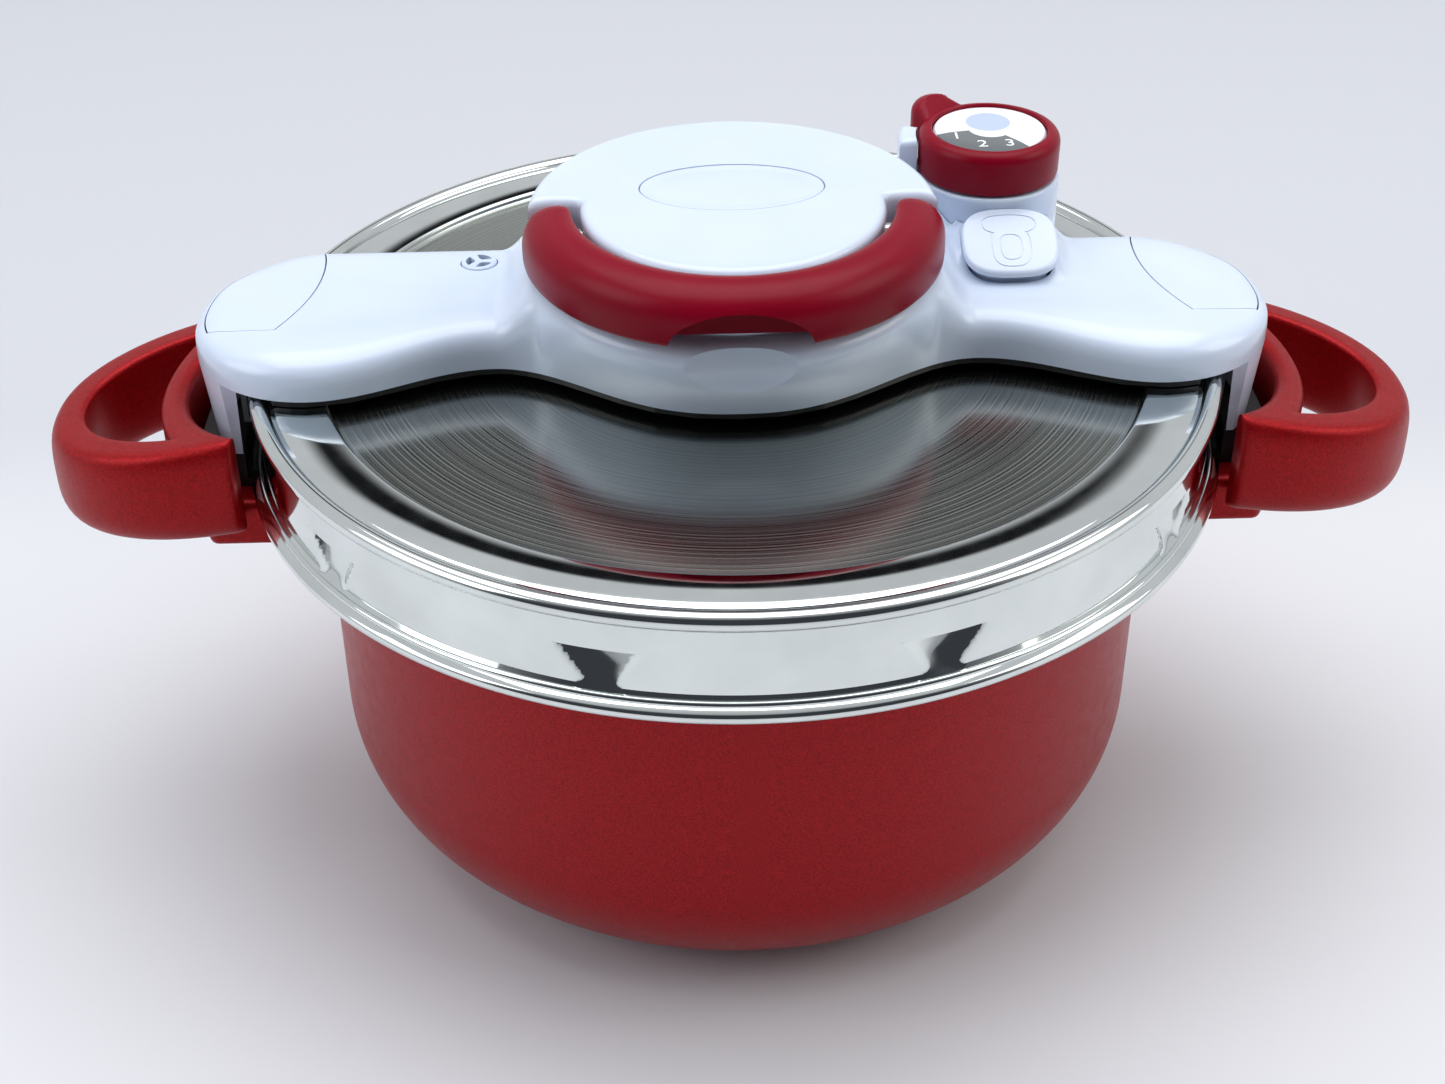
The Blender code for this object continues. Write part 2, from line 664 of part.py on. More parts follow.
def chassis():
    """The black plate between lid and bridge, which shows as a dark line all round."""
    inset = 0.0010
    places = [-x for x in reversed(cover_stations()[1:])] + cover_stations()
    front = [(x, -max(front_half(x) - inset, 0.002)) for x in places]
    back = [(x, max(back_half(x) - inset, 0.002)) for x in reversed(places)]
    plate = prism("lid_chassis", front + back, CHASSIS_Z, CHASSIS_Z + CHASSIS_THICK, "black")
    reach = BEAD_R - TOP_BEAD - 0.0005
    trim = turned("chassis_trim_tool", [(0, CHASSIS_Z - 0.01), (reach, CHASSIS_Z - 0.01),
                                        (reach, CHASSIS_Z + 0.02), (0, CHASSIS_Z + 0.02)], None, steps=64)
    boolean(plate, trim, 'INTERSECT')
    boolean(plate, turret_tool("chassis_turret_tool", GAP))
    for name, x, y, radius in lid_holes()[1:]:
        drill([plate], name + "_chassis_tool", (x, y), radius, CHASSIS_Z - 0.01, CHASSIS_Z + 0.01)


def button_outline(grow):
    """The release pad: straight sides, and rounded ends."""
    cx, cy = button_place()
    half_x, half_y = BUTTON_HALF[0] + grow, BUTTON_HALF[1] + grow
    points = []
    count = 28
    for k in range(count):
        x, y = superellipse(half_x, half_y, 3.6, 2 * math.pi * (k + 0.5) / count)
        points.append((cx + x, cy + y))
    return points


def button_place():
    return VALVE_X + 0.0040, VALVE_Y - TURRET_RADIUS - BUTTON_HALF[1] - 0.0010


def release_button():
    cx, cy = button_place()
    low = BEAM_TOP - 0.0060
    top = BEAM_TOP + 0.0048
    button = prism("release_button", button_outline(0), low, top, "white", origin=(cx, cy, top))
    for vert in button.data.vertices:
        if vert.co.z > -0.001:
            vert.co.z += math.tan(BUTTON_TILT) * vert.co.y
    round_edges(button, 0.0010, 2, 60)
    under = low - GAP
    foot, top = CHASSIS_Z + CHASSIS_THICK + GAP, under - BUTTON_TRAVEL - RUN
    turned("button_guide", [(0.0022, foot), (0.0040, foot), (0.0040, top), (0.0022, top)],
           "black", centre=(cx, BAR_HALF + 0.0062), steps=16)


# ---------------------------------------------------------------- cap, bail and shaft

def cap_outline(inset):
    """A disc in front, and a larger half disc behind the bail's tips."""
    front, rear = CAP_RADIUS - inset, CAP_REAR_RADIUS - inset
    y = CAP_STEP_Y + inset
    start = math.degrees(math.asin(y / rear))
    join = math.degrees(math.asin(y / front))
    points = arc((0, 0), rear, start, 180 - start, 20)
    points += arc((0, 0), front, 180 - join, 360 + join, 24)
    return points


def cap():
    shell = prism("hub_cap", cap_outline(0), CAP_Z, CAP_TOP, "white")
    round_edges(shell, 0.0022, 2, 60)
    inside = prism("cap_inside_tool", cap_outline(CAP_WALL), CAP_Z - 0.01, CAP_TOP - CAP_WALL, None)
    boolean(shell, inside)
    reach = CAP_RADIUS + 0.005
    slot = prism("cap_slot_tool", box_outline(-reach, reach, PIVOT_Y - SHAFT_RADIUS - 0.001,
                 PIVOT_Y + SHAFT_RADIUS + 0.001), CAP_Z - 0.01, PIVOT_Z + SHAFT_RADIUS + 0.001, None)
    boolean(shell, slot)
    pocket = prism("inlay_pocket_tool", ring_outline((0, INLAY_Y), INLAY_SIZE[0] + GAP,
                   INLAY_SIZE[1] + GAP, 40), CAP_TOP - 0.0013, CAP_TOP + 0.01, None)
    boolean(shell, pocket)
    prism("cap_inlay", ring_outline((0, INLAY_Y), *INLAY_SIZE, 40),
          CAP_TOP - 0.0013 + GAP, CAP_TOP, "white")


def bail_profile():
    """Section of the bail as (radius, height above its foot)."""
    width, height = BAIL_WIDTH, BAIL_HEIGHT
    inner = BAIL_INNER
    return [(inner, 0), (inner, height - 0.0022), (inner + 0.0018, height - 0.0002),
            (inner + width * 0.36, height), (inner + width * 0.66, height * 0.90),
            (inner + width * 0.90, height * 0.62), (inner + width, height * 0.24),
            (inner + width * 0.99, 0)]


def bail():
    foot = HUB_TOP + 0.0017
    turns = 36
    spread = math.degrees(math.asin(-PIVOT_Y / BAIL_INNER)) + 14
    start, end = 180 - spread, 360 + spread
    bm = bmesh.new()
    rows = []
    for k in range(turns + 1):
        angle = math.radians(start + (end - start) * k / turns)
        rows.append([bm.verts.new((r * math.cos(angle), r * math.sin(angle), foot + h))
                     for r, h in bail_profile()])
    for a, b in zip(rows, rows[1:]):
        for j in range(len(a)):
            n = (j + 1) % len(a)
            bm.faces.new((a[j], a[n], b[n], b[j]))
    bm.faces.new(rows[0])
    bm.faces.new(rows[-1])
    pivot = (0, PIVOT_Y, PIVOT_Z)
    handle = finish("bail_handle", bm, "crimson", origin=pivot)
    tip = arc((PIVOT_Y, PIVOT_Z), TIP_RADIUS, -90, 90, 12)
    tip += [(PIVOT_Y, PIVOT_Z + 0.04), (PIVOT_Y + 0.05, PIVOT_Z + 0.04),
            (PIVOT_Y + 0.05, PIVOT_Z - 0.04), (PIVOT_Y, PIVOT_Z - 0.04)]
    boolean(handle, side_prism("bail_tip_tool", tip, -0.08, 0.08, None, axis="x"))
    outer = BAIL_INNER + BAIL_WIDTH
    notch = ring_outline((0, foot - 0.0005), *NOTCH_SIZE, 28)
    boolean(handle, side_prism("bail_notch_tool", notch, -outer - 0.01, -BAIL_INNER - 0.0036, None))
    boolean(handle, rod("bail_bore_tool", SHAFT_RADIUS + GAP, -SHAFT_END - 0.001, SHAFT_END + 0.001, None))

    rod("bail_shaft", SHAFT_RADIUS, -SHAFT_END, SHAFT_END, "steel", origin=pivot)
    for label, side in both_sides():
        near, far = 0.0232, 0.0296
        cam = rod("cam_" + label, 0.0046, min(side * near, side * far), max(side * near, side * far),
                  "steel", origin=pivot)
        boolean(cam, rod("cam_bore_tool_" + label, SHAFT_RADIUS + GAP, -0.04, 0.04, None))

        near, far = 0.0120, 0.0175
        outline = [(PIVOT_Y - 0.008, COVER_Z), (PIVOT_Y + 0.008, COVER_Z),
                   (PIVOT_Y + 0.0045, PIVOT_Z + 0.0030), (PIVOT_Y + 0.0028, PIVOT_Z + 0.0045),
                   (PIVOT_Y - 0.0028, PIVOT_Z + 0.0045), (PIVOT_Y - 0.0045, PIVOT_Z + 0.0030)]
        block = side_prism("shaft_bearing_" + label, outline, min(side * near, side * far),
                           max(side * near, side * far), "steel", axis="x")
        boolean(block, rod("bearing_bore_tool_" + label, SHAFT_RADIUS + GAP, -0.03, 0.03, None))


# ---------------------------------------------------------------- jaws

def jaw(label, side):
    """A steel jaw: an arm over the lid, a drop outside the bead, and a lip under the rim."""
    far = JAW_X + JAW_SHEET
    low = lip_z()
    near_lip = RIM_RADIUS + 0.0004
    arm = JAW_X - 0.026
    outline = [(arm, JAW_ARM_Z), (JAW_X, JAW_ARM_Z), (JAW_X, low + JAW_SHEET),
               (near_lip, low + JAW_SHEET), (near_lip, low), (far, low),
               (far, JAW_ARM_Z + JAW_SHEET), (arm, JAW_ARM_Z + JAW_SHEET)]
    outline = [(side * x, z) for x, z in outline]
    origin = (side * far, 0, JAW_ARM_Z)
    plate = side_prism("jaw_" + label, outline, -JAW_HALF, JAW_HALF, "steel", origin=origin)

    tab_in, tab_out = 0.0305, 0.0330
    top = PIVOT_Z + 0.0040
    bar = prism("drawbar_" + label,
                box_outline(min(side * tab_in, side * (arm + 0.014)),
                            max(side * tab_in, side * (arm + 0.014)), -BAR_HALF, BAR_HALF),
                BAR_Z, BAR_Z + BAR_SHEET, "steel", origin=origin)
    tab = prism("drawbar_tab_tool_" + label,
                box_outline(min(side * tab_in, side * tab_out), max(side * tab_in, side * tab_out),
                            PIVOT_Y - 0.004, PIVOT_Y + 0.004), BAR_Z + 0.0005, top, None)
    boolean(bar, tab, 'UNION')
    boolean(bar, rod("drawbar_bore_tool_" + label, SHAFT_RADIUS + RUN, -0.05, 0.05, None))
    rivet_x = side * (arm + 0.007)
    drill([plate, bar], "rivet_hole_tool_" + label, (rivet_x, 0), 0.0023, JAW_ARM_Z - 0.01, BAR_Z + 0.01)
    head = BAR_Z + BAR_SHEET + GAP
    turned("jaw_rivet_" + label,
           [(0, JAW_ARM_Z + 0.0003), (0.0020, JAW_ARM_Z + 0.0003), (0.0020, head), (0.0036, head),
            (0.0036, head + 0.0006), (0.0022, head + 0.0014), (0, head + 0.0014)],
           "steel", centre=(rivet_x, 0), steps=16, origin=origin)


# ---------------------------------------------------------------- valves

def hex_nut(name, x, y, across, bore, low, high, colour):
    outline = [(x + across / math.sqrt(3) * math.cos(math.radians(60 * k)),
                y + across / math.sqrt(3) * math.sin(math.radians(60 * k))) for k in range(6)]
    nut = prism(name, outline, low, high, colour)
    drill([nut], name + "_bore_tool", (x, y), bore, low - 0.01, high + 0.01)


def steam_valve():
    centre = (VALVE_X, VALVE_Y)
    low = DISH_TOP + GAP
    turret = turned("valve_turret",
                    [(0.0078, low), (TURRET_RADIUS, low), (TURRET_RADIUS, TURRET_TOP - 0.001),
                     (TURRET_RADIUS - 0.001, TURRET_TOP), (0.0078, TURRET_TOP)],
                    "white", centre=centre, steps=40)
    post = prism("valve_post_tool", post_outline(0), CHASSIS_Z, TURRET_TOP + POST_RISE, None)
    boolean(turret, post, 'UNION')
    swing = KNOB_RADIUS + RUN + 0.0004
    drill([turret], "valve_swing_tool", centre, swing, TURRET_TOP + 0.00001, TURRET_TOP + 0.03, 40)

    nozzle_top = TURRET_TOP - 0.0005
    nut_top = DISH_UNDER - GAP
    turned("valve_nozzle",
           [(0.0015, nut_top - 0.0062), (0.0050, nut_top - 0.0062), (0.0050, DISH_TOP + GAP),
            (0.0070, DISH_TOP + GAP), (0.0070, DISH_TOP + 0.004), (0.0042, DISH_TOP + 0.006),
            (0.0042, nozzle_top), (0.0015, nozzle_top)], "steel", centre=centre, steps=20)
    hex_nut("valve_nut", VALVE_X, VALVE_Y, 0.016, 0.0053, nut_top - 0.004, nut_top, "steel")

    knob_low = TURRET_TOP + RUN
    top = knob_low + KNOB_HEIGHT
    seat = top - 0.0052
    axis = (VALVE_X, VALVE_Y, knob_low)
    knob = turned("valve_knob",
                  [(0, knob_low), (KNOB_RADIUS, knob_low), (KNOB_RADIUS + 0.0002, top - 0.0045),
                   (KNOB_RADIUS - 0.0008, top - 0.0018), (KNOB_RADIUS - 0.0022, top - 0.0003),
                   (DIAL_RADIUS + 0.0007, top), (DIAL_RADIUS + GAP, top - 0.0006),
                   (DIAL_RADIUS + GAP, seat), (0, seat)], "crimson", centre=centre, steps=40, origin=axis)
    lug_x = VALVE_X + (KNOB_RADIUS + 0.0032) * math.cos(LUG_BEARING)
    lug_y = VALVE_Y + (KNOB_RADIUS + 0.0032) * math.sin(LUG_BEARING)
    lug = turned("knob_lug_tool", [(0, knob_low + 0.0045), (0.0054, knob_low + 0.0045),
                                   (0.0060, top - 0.002), (0.0048, top + 0.0012), (0.0026, top + 0.0024),
                                   (0, top + 0.0026)], None, centre=(lug_x, lug_y), steps=20)
    boolean(knob, lug, 'UNION')
    drill([knob], "knob_dial_tool", centre, DIAL_RADIUS + GAP, seat, top + 0.02, 40)
    turned("valve_dial", [(0, seat + GAP), (DIAL_RADIUS, seat + GAP), (DIAL_RADIUS, top - 0.0012),
                          (DIAL_RADIUS - 0.0008, top - 0.0006), (0, top - 0.0002)],
           "grey", centre=centre, steps=40, origin=axis)


def indicator():
    centre = (VENT_X, VENT_Y)
    nut_top = DISH_UNDER - GAP
    seat = CHASSIS_Z + CHASSIS_THICK + GAP
    turned("indicator_guide",
           [(0.0022, nut_top - 0.0050), (0.0040, nut_top - 0.0050), (0.0040, seat), (0.0058, seat),
            (0.0058, seat + 0.0020), (0.0036, seat + 0.0034), (0.0022, seat + 0.0034)],
           "steel", centre=centre, steps=20)
    head = nut_top - 0.0050 - INDICATOR_TRAVEL - RUN
    turned("indicator_pin",
           [(0, head - 0.0019), (0.0034, head - 0.0019), (0.0034, head),
            (0.0017, head), (0.0017, seat + 0.0046), (0.0010, seat + 0.0054),
            (0, seat + 0.0054)], "crimson", centre=centre, steps=16,
           origin=(VENT_X, VENT_Y, seat))
    hex_nut("indicator_nut", VENT_X, VENT_Y, 0.0130, 0.0043, nut_top - 0.0030, nut_top, "steel")


def safety_valve():
    x, y = SAFETY_PLACE
    nut_top = DISH_UNDER - GAP
    seat = CHASSIS_Z + CHASSIS_THICK + GAP
    turned("safety_valve",
           [(0, nut_top - 0.0055), (0.0055, nut_top - 0.0055), (0.0055, seat), (0.0075, seat),
            (0.0075, seat + 0.005), (0.0060, seat + 0.0065), (0, seat + 0.0065)],
           "brass", centre=SAFETY_PLACE, steps=20)
    hex_nut("safety_valve_nut", x, y, 0.0170, 0.0058, nut_top - 0.0035, nut_top, "steel")


def lid_bolts():
    seat = CHASSIS_Z + CHASSIS_THICK + GAP
    nut_top = DISH_UNDER - GAP
    for label, x, y in bolt_places():
        turned("lid_bolt_" + label,
               [(0, nut_top - 0.0040), (0.0020, nut_top - 0.0040), (0.0020, seat), (0.0042, seat),
                (0.0042, seat + 0.0012), (0.0030, seat + 0.0024), (0, seat + 0.0024)],
               "steel", centre=(x, y), steps=16)
        hex_nut("lid_nut_" + label, x, y, 0.0080, 0.0023, nut_top - 0.0030, nut_top, "steel")


def build():
    clear_scene()
    pot()
    for label, side in both_sides():
        side_handle(label, side)
        handle_fittings(label, side)
        jaw(label, side)
    lid()
    bridge()
    cap()
    bail()
    release_button()
    steam_valve()
    indicator()
    safety_valve()
    lid_bolts()


build()
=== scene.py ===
# %% [markdown]
# # A clamp-lid pressure cooker
# The cooker is a red lacquered pot with a polished steel lid. A white bridge crosses the lid and
# carries a crimson folding bail, a steam valve and a release pad, and two red loops are the side
# handles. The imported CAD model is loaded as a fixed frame, and every piece made here rides on one
# of its bodies and takes its place and main sizes from the frame.

# %% Load the fixed frame
from math import asin, atan2, copysign, cos, degrees, hypot, pi, radians, sin, sqrt, tan
import bmesh
import bpy
from mathutils import Matrix, Vector


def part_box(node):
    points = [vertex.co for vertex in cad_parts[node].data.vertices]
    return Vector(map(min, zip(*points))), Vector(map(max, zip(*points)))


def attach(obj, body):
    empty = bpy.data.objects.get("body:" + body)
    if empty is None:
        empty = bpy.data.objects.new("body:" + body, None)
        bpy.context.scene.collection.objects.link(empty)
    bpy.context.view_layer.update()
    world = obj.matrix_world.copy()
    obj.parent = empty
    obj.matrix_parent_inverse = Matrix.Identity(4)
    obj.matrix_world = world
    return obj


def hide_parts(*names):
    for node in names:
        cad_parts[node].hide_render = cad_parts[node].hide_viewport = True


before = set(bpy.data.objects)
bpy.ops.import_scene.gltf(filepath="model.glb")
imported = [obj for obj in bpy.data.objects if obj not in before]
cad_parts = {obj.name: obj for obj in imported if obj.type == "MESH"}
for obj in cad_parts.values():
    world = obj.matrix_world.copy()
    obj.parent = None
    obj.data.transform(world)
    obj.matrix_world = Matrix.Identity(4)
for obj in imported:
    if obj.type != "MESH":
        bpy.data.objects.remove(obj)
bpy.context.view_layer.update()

# %% [markdown]
# ## Sizes
# The main places and sizes are read from the boxes of the CAD nodes: a box gives the lowest and
# highest corner of a node at rest, in metres. Walls, gaps and the radii of edges are typed in.

# %% Read the main sizes
GAP = 0.0003
pot_low, pot_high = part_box("pot_body")
lid_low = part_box("lid_shell")[0]
cover_low, cover_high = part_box("beam_cover")
cap_low, cap_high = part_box("hub_cap")
dial_low, dial_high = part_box("valve_dial")
turret_low, turret_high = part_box("valve_turret")
knob_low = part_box("valve_knob")[0]
button_low, button_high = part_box("release_button")
vent_low, vent_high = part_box("vent_grille")

RIM_R, POT_TOP = pot_high.x, pot_high.z
POT_R = RIM_R - 0.007
DISH_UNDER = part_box("gasket")[1].z + GAP
DISH_TOP = DISH_UNDER + 0.0015
LEDGE_TOP = DISH_TOP + 0.002
BEAD_R, BEAD_Z = RIM_R + 0.0066, DISH_TOP + 0.0006
LOW_BEAD_R, LOW_BEAD_Z = BEAD_R + 0.003, lid_low.z + 0.002
COVER_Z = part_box("lid_chassis")[1].z + GAP
BEAM_END, HUB_TOP, LEG_Z = cover_high.x, cover_high.z, cover_low.z
CAP_Z, CAP_TOP = cap_low.z, cap_high.z
VALVE = (dial_low + dial_high) / 2
VENT = (vent_low + vent_high) / 2
VALVE_AT, VENT_AT = (VALVE.x, VALVE.y), (VENT.x, VENT.y)
print("rim radius %.4f, bridge end %.4f, cap top %.4f" % (RIM_R, BEAM_END, CAP_TOP))

# %% [markdown]
# ## Working by hand, in code
# Each helper below does what a modeller does at the keyboard. An operator acts on everything that
# is selected, so the first helper leaves object mode clean with nothing selected.

# %% Start clean, and tidy up a finished mesh
def start_clean():
    if bpy.context.object and bpy.context.object.mode != 'OBJECT':
        bpy.ops.object.mode_set(mode='OBJECT')
    bpy.ops.object.select_all(action='DESELECT')


def pick(piece):
    start_clean()
    piece.select_set(True)
    bpy.context.view_layer.objects.active = piece


def close_up(piece):
    """Merge doubles, point the faces outwards, and put the object's place in its mesh."""
    pick(piece)
    bpy.ops.object.mode_set(mode='EDIT')
    bpy.ops.mesh.select_all(action='SELECT')
    bpy.ops.mesh.remove_doubles(threshold=0.000001)
    bpy.ops.mesh.normals_make_consistent(inside=False)
    bpy.ops.object.mode_set(mode='OBJECT')
    bpy.ops.object.transform_apply(location=True, rotation=True, scale=True)
    return piece


# %% A turned piece: extrude a vertex along a profile, then spin it
def lathe(name, profile, centre=(0, 0), steps=96):
    """profile is a chain of (radius, height) from the axis, or a closed ring of them."""
    start_clean()
    first = profile[0]
    bpy.ops.mesh.primitive_plane_add(size=0.001, location=(centre[0] + first[0], centre[1], first[1]))
    piece = bpy.context.object
    piece.name = name
    bpy.ops.object.mode_set(mode='EDIT')
    bpy.ops.mesh.merge(type='CENTER')
    chain = list(profile) + ([first] if first[0] > 0 else [])
    for (r0, z0), (r1, z1) in zip(chain, chain[1:]):
        bpy.ops.mesh.extrude_region_move(TRANSFORM_OT_translate={"value": (r1 - r0, 0, z1 - z0)})
    bpy.ops.mesh.select_all(action='SELECT')
    bpy.ops.mesh.spin(steps=steps, angle=2 * pi, center=(*centre, 0), axis=(0, 0, 1))
    return close_up(piece)


# %% A lofted piece: a ring of edges, extruded from section to section
def loft(name, rings, caps=True):
    """rings are lists of places, all of the same length; caps close both ends."""
    start_clean()
    bpy.ops.mesh.primitive_circle_add(vertices=len(rings[0]), radius=0.01, fill_type='NOTHING')
    piece = bpy.context.object
    piece.name = name
    bpy.ops.object.mode_set(mode='EDIT')
    bm = bmesh.from_edit_mesh(piece.data)
    bm.verts.ensure_lookup_table()
    row = [vert.index for vert in bm.verts]
    for index, place in zip(row, rings[0]):
        bm.verts[index].co = place
    for ring in rings[1:]:
        bpy.ops.mesh.extrude_region_move()
        bm = bmesh.from_edit_mesh(piece.data)
        bm.verts.index_update()
        bm.verts.ensure_lookup_table()
        grown = []
        for index in row:
            vert = bm.verts[index]
            ends = [edge.other_vert(vert) for edge in vert.link_edges]
            grown.append(next(end.index for end in ends if end.select))
        for index, place in zip(grown, ring):
            bm.verts[index].co = place
        row = grown
    if caps:
        bpy.ops.mesh.edge_face_add()
        bm = bmesh.from_edit_mesh(piece.data)
        bm.verts.ensure_lookup_table()
        bpy.ops.mesh.select_all(action='DESELECT')
        for index in range(len(rings[0])):
            bm.verts[index].select = True
        bm.select_flush(True)
        bpy.ops.mesh.edge_face_add()
    return close_up(piece)


# %% A plate: an outline face, extruded to its thickness
def plate(name, outline, low, high):
    start_clean()
    bpy.ops.mesh.primitive_circle_add(vertices=len(outline), radius=0.01, fill_type='NGON')
    piece = bpy.context.object
    piece.name = name
    for vert, (x, y) in zip(piece.data.vertices, outline):
        vert.co = (x, y, low)
    bpy.ops.object.mode_set(mode='EDIT')
    bpy.ops.mesh.extrude_region_move(TRANSFORM_OT_translate={"value": (0, 0, high - low)})
    return close_up(piece)


# %% Booleans and rounded edges, applied at once, and pieces joined to one
def cut(piece, tool, how='DIFFERENCE'):
    pick(piece)
    step = piece.modifiers.new(how.lower(), 'BOOLEAN')
    step.operation = how
    step.solver = 'EXACT'
    step.object = tool
    bpy.ops.object.modifier_apply(modifier=step.name)
    bpy.data.objects.remove(tool, do_unlink=True)
    return piece


def soften(piece, width, segments, angle):
    pick(piece)
    step = piece.modifiers.new("soften", 'BEVEL')
    step.width = width
    step.segments = segments
    step.limit_method = 'ANGLE'
    step.angle_limit = radians(angle)
    bpy.ops.object.modifier_apply(modifier=step.name)


def join(pieces):
    start_clean()
    for piece in pieces:
        piece.select_set(True)
    bpy.context.view_layer.objects.active = pieces[0]
    bpy.ops.object.join()
    return pieces[0]


# %% Outlines that several pieces share
def arc(centre, radius, start, end, count):
    """Points on a circle, from one bearing in degrees to another."""
    turn = [radians(start + (end - start) * k / count) for k in range(count + 1)]
    return [(centre[0] + radius * cos(t), centre[1] + radius * sin(t)) for t in turn]


def superellipse(a, b, power, t):
    c, s = cos(t), sin(t)
    return (a * copysign(abs(c) ** (2 / power), c), b * copysign(abs(s) ** (2 / power), s))


def oval(centre, half_x, half_y, count=96, power=2.0):
    ring = [superellipse(half_x, half_y, power, 2 * pi * k / count) for k in range(count)]
    return [(centre[0] + x, centre[1] + y) for x, y in ring]


def circle(centre, radius, count=128):
    return oval(centre, radius, radius, count)


def rectangle(x0, x1, y0, y1):
    return [(x0, y0), (x1, y0), (x1, y1), (x0, y1)]


def rounding(height, radius, angles):
    """Levels (height, inset) that round an edge, by the angle in degrees."""
    return [(height + radius * sin(radians(a)), radius * (1 - cos(radians(a)))) for a in angles]


# %% [markdown]
# ## Finishes
# Each finish is a small tree of nodes on Object coordinates. One function turns a hex colour to
# the linear values that a shader wants, and one adds a node with its settings and links.

# %% Colour and node helpers
def hex_colour(code):
    parts = [int(code[k:k + 2], 16) / 255 for k in (0, 2, 4)]
    linear = [c / 12.92 if c <= 0.04045 else ((c + 0.055) / 1.055) ** 2.4 for c in parts]
    return (*linear, 1.0)


RGBA = {"data_type": 'RGBA'}


def add_node(tree, kind, settings=None, values=None, links=None):
    """values are set on inputs by name or number, and links are (output socket) by input."""
    node = tree.nodes.new("ShaderNode" + kind)
    for key, value in (settings or {}).items():
        setattr(node, key, value)
    for key, value in (values or {}).items():
        node.inputs[key].default_value = value
    for key, output in (links or {}).items():
        tree.links.new(output, node.inputs[key])
    return node


def new_finish(name, **values):
    """A material with its shader's constants set, and the socket of its Object coordinates."""
    made = bpy.data.materials.new(name)
    made.use_nodes = True
    tree = made.node_tree
    shader = tree.nodes["Principled BSDF"]
    for key, value in values.items():
        shader.inputs[key.replace("_", " ")].default_value = value
    place = add_node(tree, "TexCoord").outputs["Object"]
    return made, tree, shader, place


def colour_ramp(tree, factor, deep, bright, edge=0.3):
    """Turn the middle of a noise into a range between two colours."""
    ramp = add_node(tree, "ValToRGB", links={"Fac": factor})
    for element, position, code in zip(ramp.color_ramp.elements, (edge, 1 - edge), (deep, bright)):
        element.position, element.color = position, hex_colour(code)
    return ramp.outputs["Color"]


def grain(tree, place, spacing, detail=2.0):
    """Noise whose grains are about spacing apart, in metres."""
    return add_node(tree, "TexNoise", values={"Scale": 1 / spacing, "Detail": detail},
                    links={"Vector": place}).outputs["Fac"]


def spread(tree, factor, low, high):
    """Turn the middle of a noise into a range of values."""
    limits = {"From Min": 0.3, "From Max": 0.7, "To Min": low, "To Max": high}
    return add_node(tree, "MapRange", values=limits, links={"Value": factor}).outputs["Result"]


def fade(tree, value, start, end, curve='LINEAR'):
    """0 at one value and 1 at another."""
    return add_node(tree, "MapRange", {"interpolation_type": curve}, {"From Min": start, "From Max": end},
                    {"Value": value}).outputs["Result"]


def times(tree, first, second):
    return add_node(tree, "Math", {"operation": 'MULTIPLY'}, links={0: first, 1: second}).outputs["Value"]


def bump(tree, shader, height, depth, strength):
    made = add_node(tree, "Bump", values={"Distance": depth, "Strength": strength}, links={"Height": height})
    tree.links.new(made.outputs["Normal"], shader.inputs["Normal"])


# %% [markdown]
# ## The red lacquers
# The pot is spun steel under a metallic lacquer: a red base with fine bright flake and a clear
# coat, so it darkens where it faces the viewer and glows at its edges. The side handles are
# moulded plastic with the same colour, sprayed on more thinly and left satin.

# %% Metallic lacquer and satin metallic paint
def flake_paint(name, deep, bright, flake, rough, metal, coat, coat_rough):
    made, tree, shader, place = new_finish(
        name, Metallic=metal, Roughness=rough, Coat_Weight=coat, Coat_Roughness=coat_rough,
        Specular_IOR_Level=0.2)
    speck = grain(tree, place, flake)
    tree.links.new(colour_ramp(tree, speck, deep, bright, 0.34), shader.inputs["Base Color"])
    # spray-gun mottle, a few millimetres across, moves the roughness a little
    tree.links.new(spread(tree, grain(tree, place, 0.004, 3), rough - 0.03, rough + 0.04),
                   shader.inputs["Roughness"])
    bump(tree, shader, speck, 0.00002, 0.35)
    return made


# flake of 0.1 mm is drawn 0.5 mm coarse, so that it shows
lacquer = flake_paint("metallic_red_lacquer", "82060E", "AA1118", 0.0005, 0.38, 0.45, 0.08, 0.25)
handle_paint = flake_paint("satin_red_paint_on_nylon", "84050C", "A80E14", 0.0006, 0.40, 0.45, 0.05, 0.30)

# %% [markdown]
# ## Plastics
# The bridge is glossy white PBT, slightly blue. The bail and the valve's ring are a soft crimson
# plastic with a faint moulded grain, and the hidden frame is black nylon.

# %% Moulded plastics
def moulded(name, deep, bright, rough, grain_size, depth, coat=0.0, specular=0.5):
    made, tree, shader, place = new_finish(
        name, Roughness=rough, Coat_Weight=coat, Coat_Roughness=0.08, Specular_IOR_Level=specular)
    cloud = grain(tree, place, 0.03, 3)
    tree.links.new(colour_ramp(tree, cloud, deep, bright), shader.inputs["Base Color"])
    fine = grain(tree, place, grain_size)
    tree.links.new(spread(tree, fine, rough - 0.02, rough + 0.03), shader.inputs["Roughness"])
    bump(tree, shader, fine, depth, 0.4)
    return made


# the mould's polish leaves a 0.8 mm ripple, only microns deep
white_plastic = moulded("glossy_white_pbt", "CFDCEF", "D5E1F3", 0.24, 0.0008, 0.000008, coat=0.3)
crimson_plastic = moulded("soft_crimson_plastic", "7A0018", "86021F", 0.32, 0.0005, 0.000025, specular=0.14)
black_nylon = moulded("black_moulded_nylon", "101112", "17181A", 0.48, 0.0004, 0.00004)
grey_silicone = moulded("grey_silicone_rubber", "6E7072", "7A7C7E", 0.55, 0.0006, 0.00002)

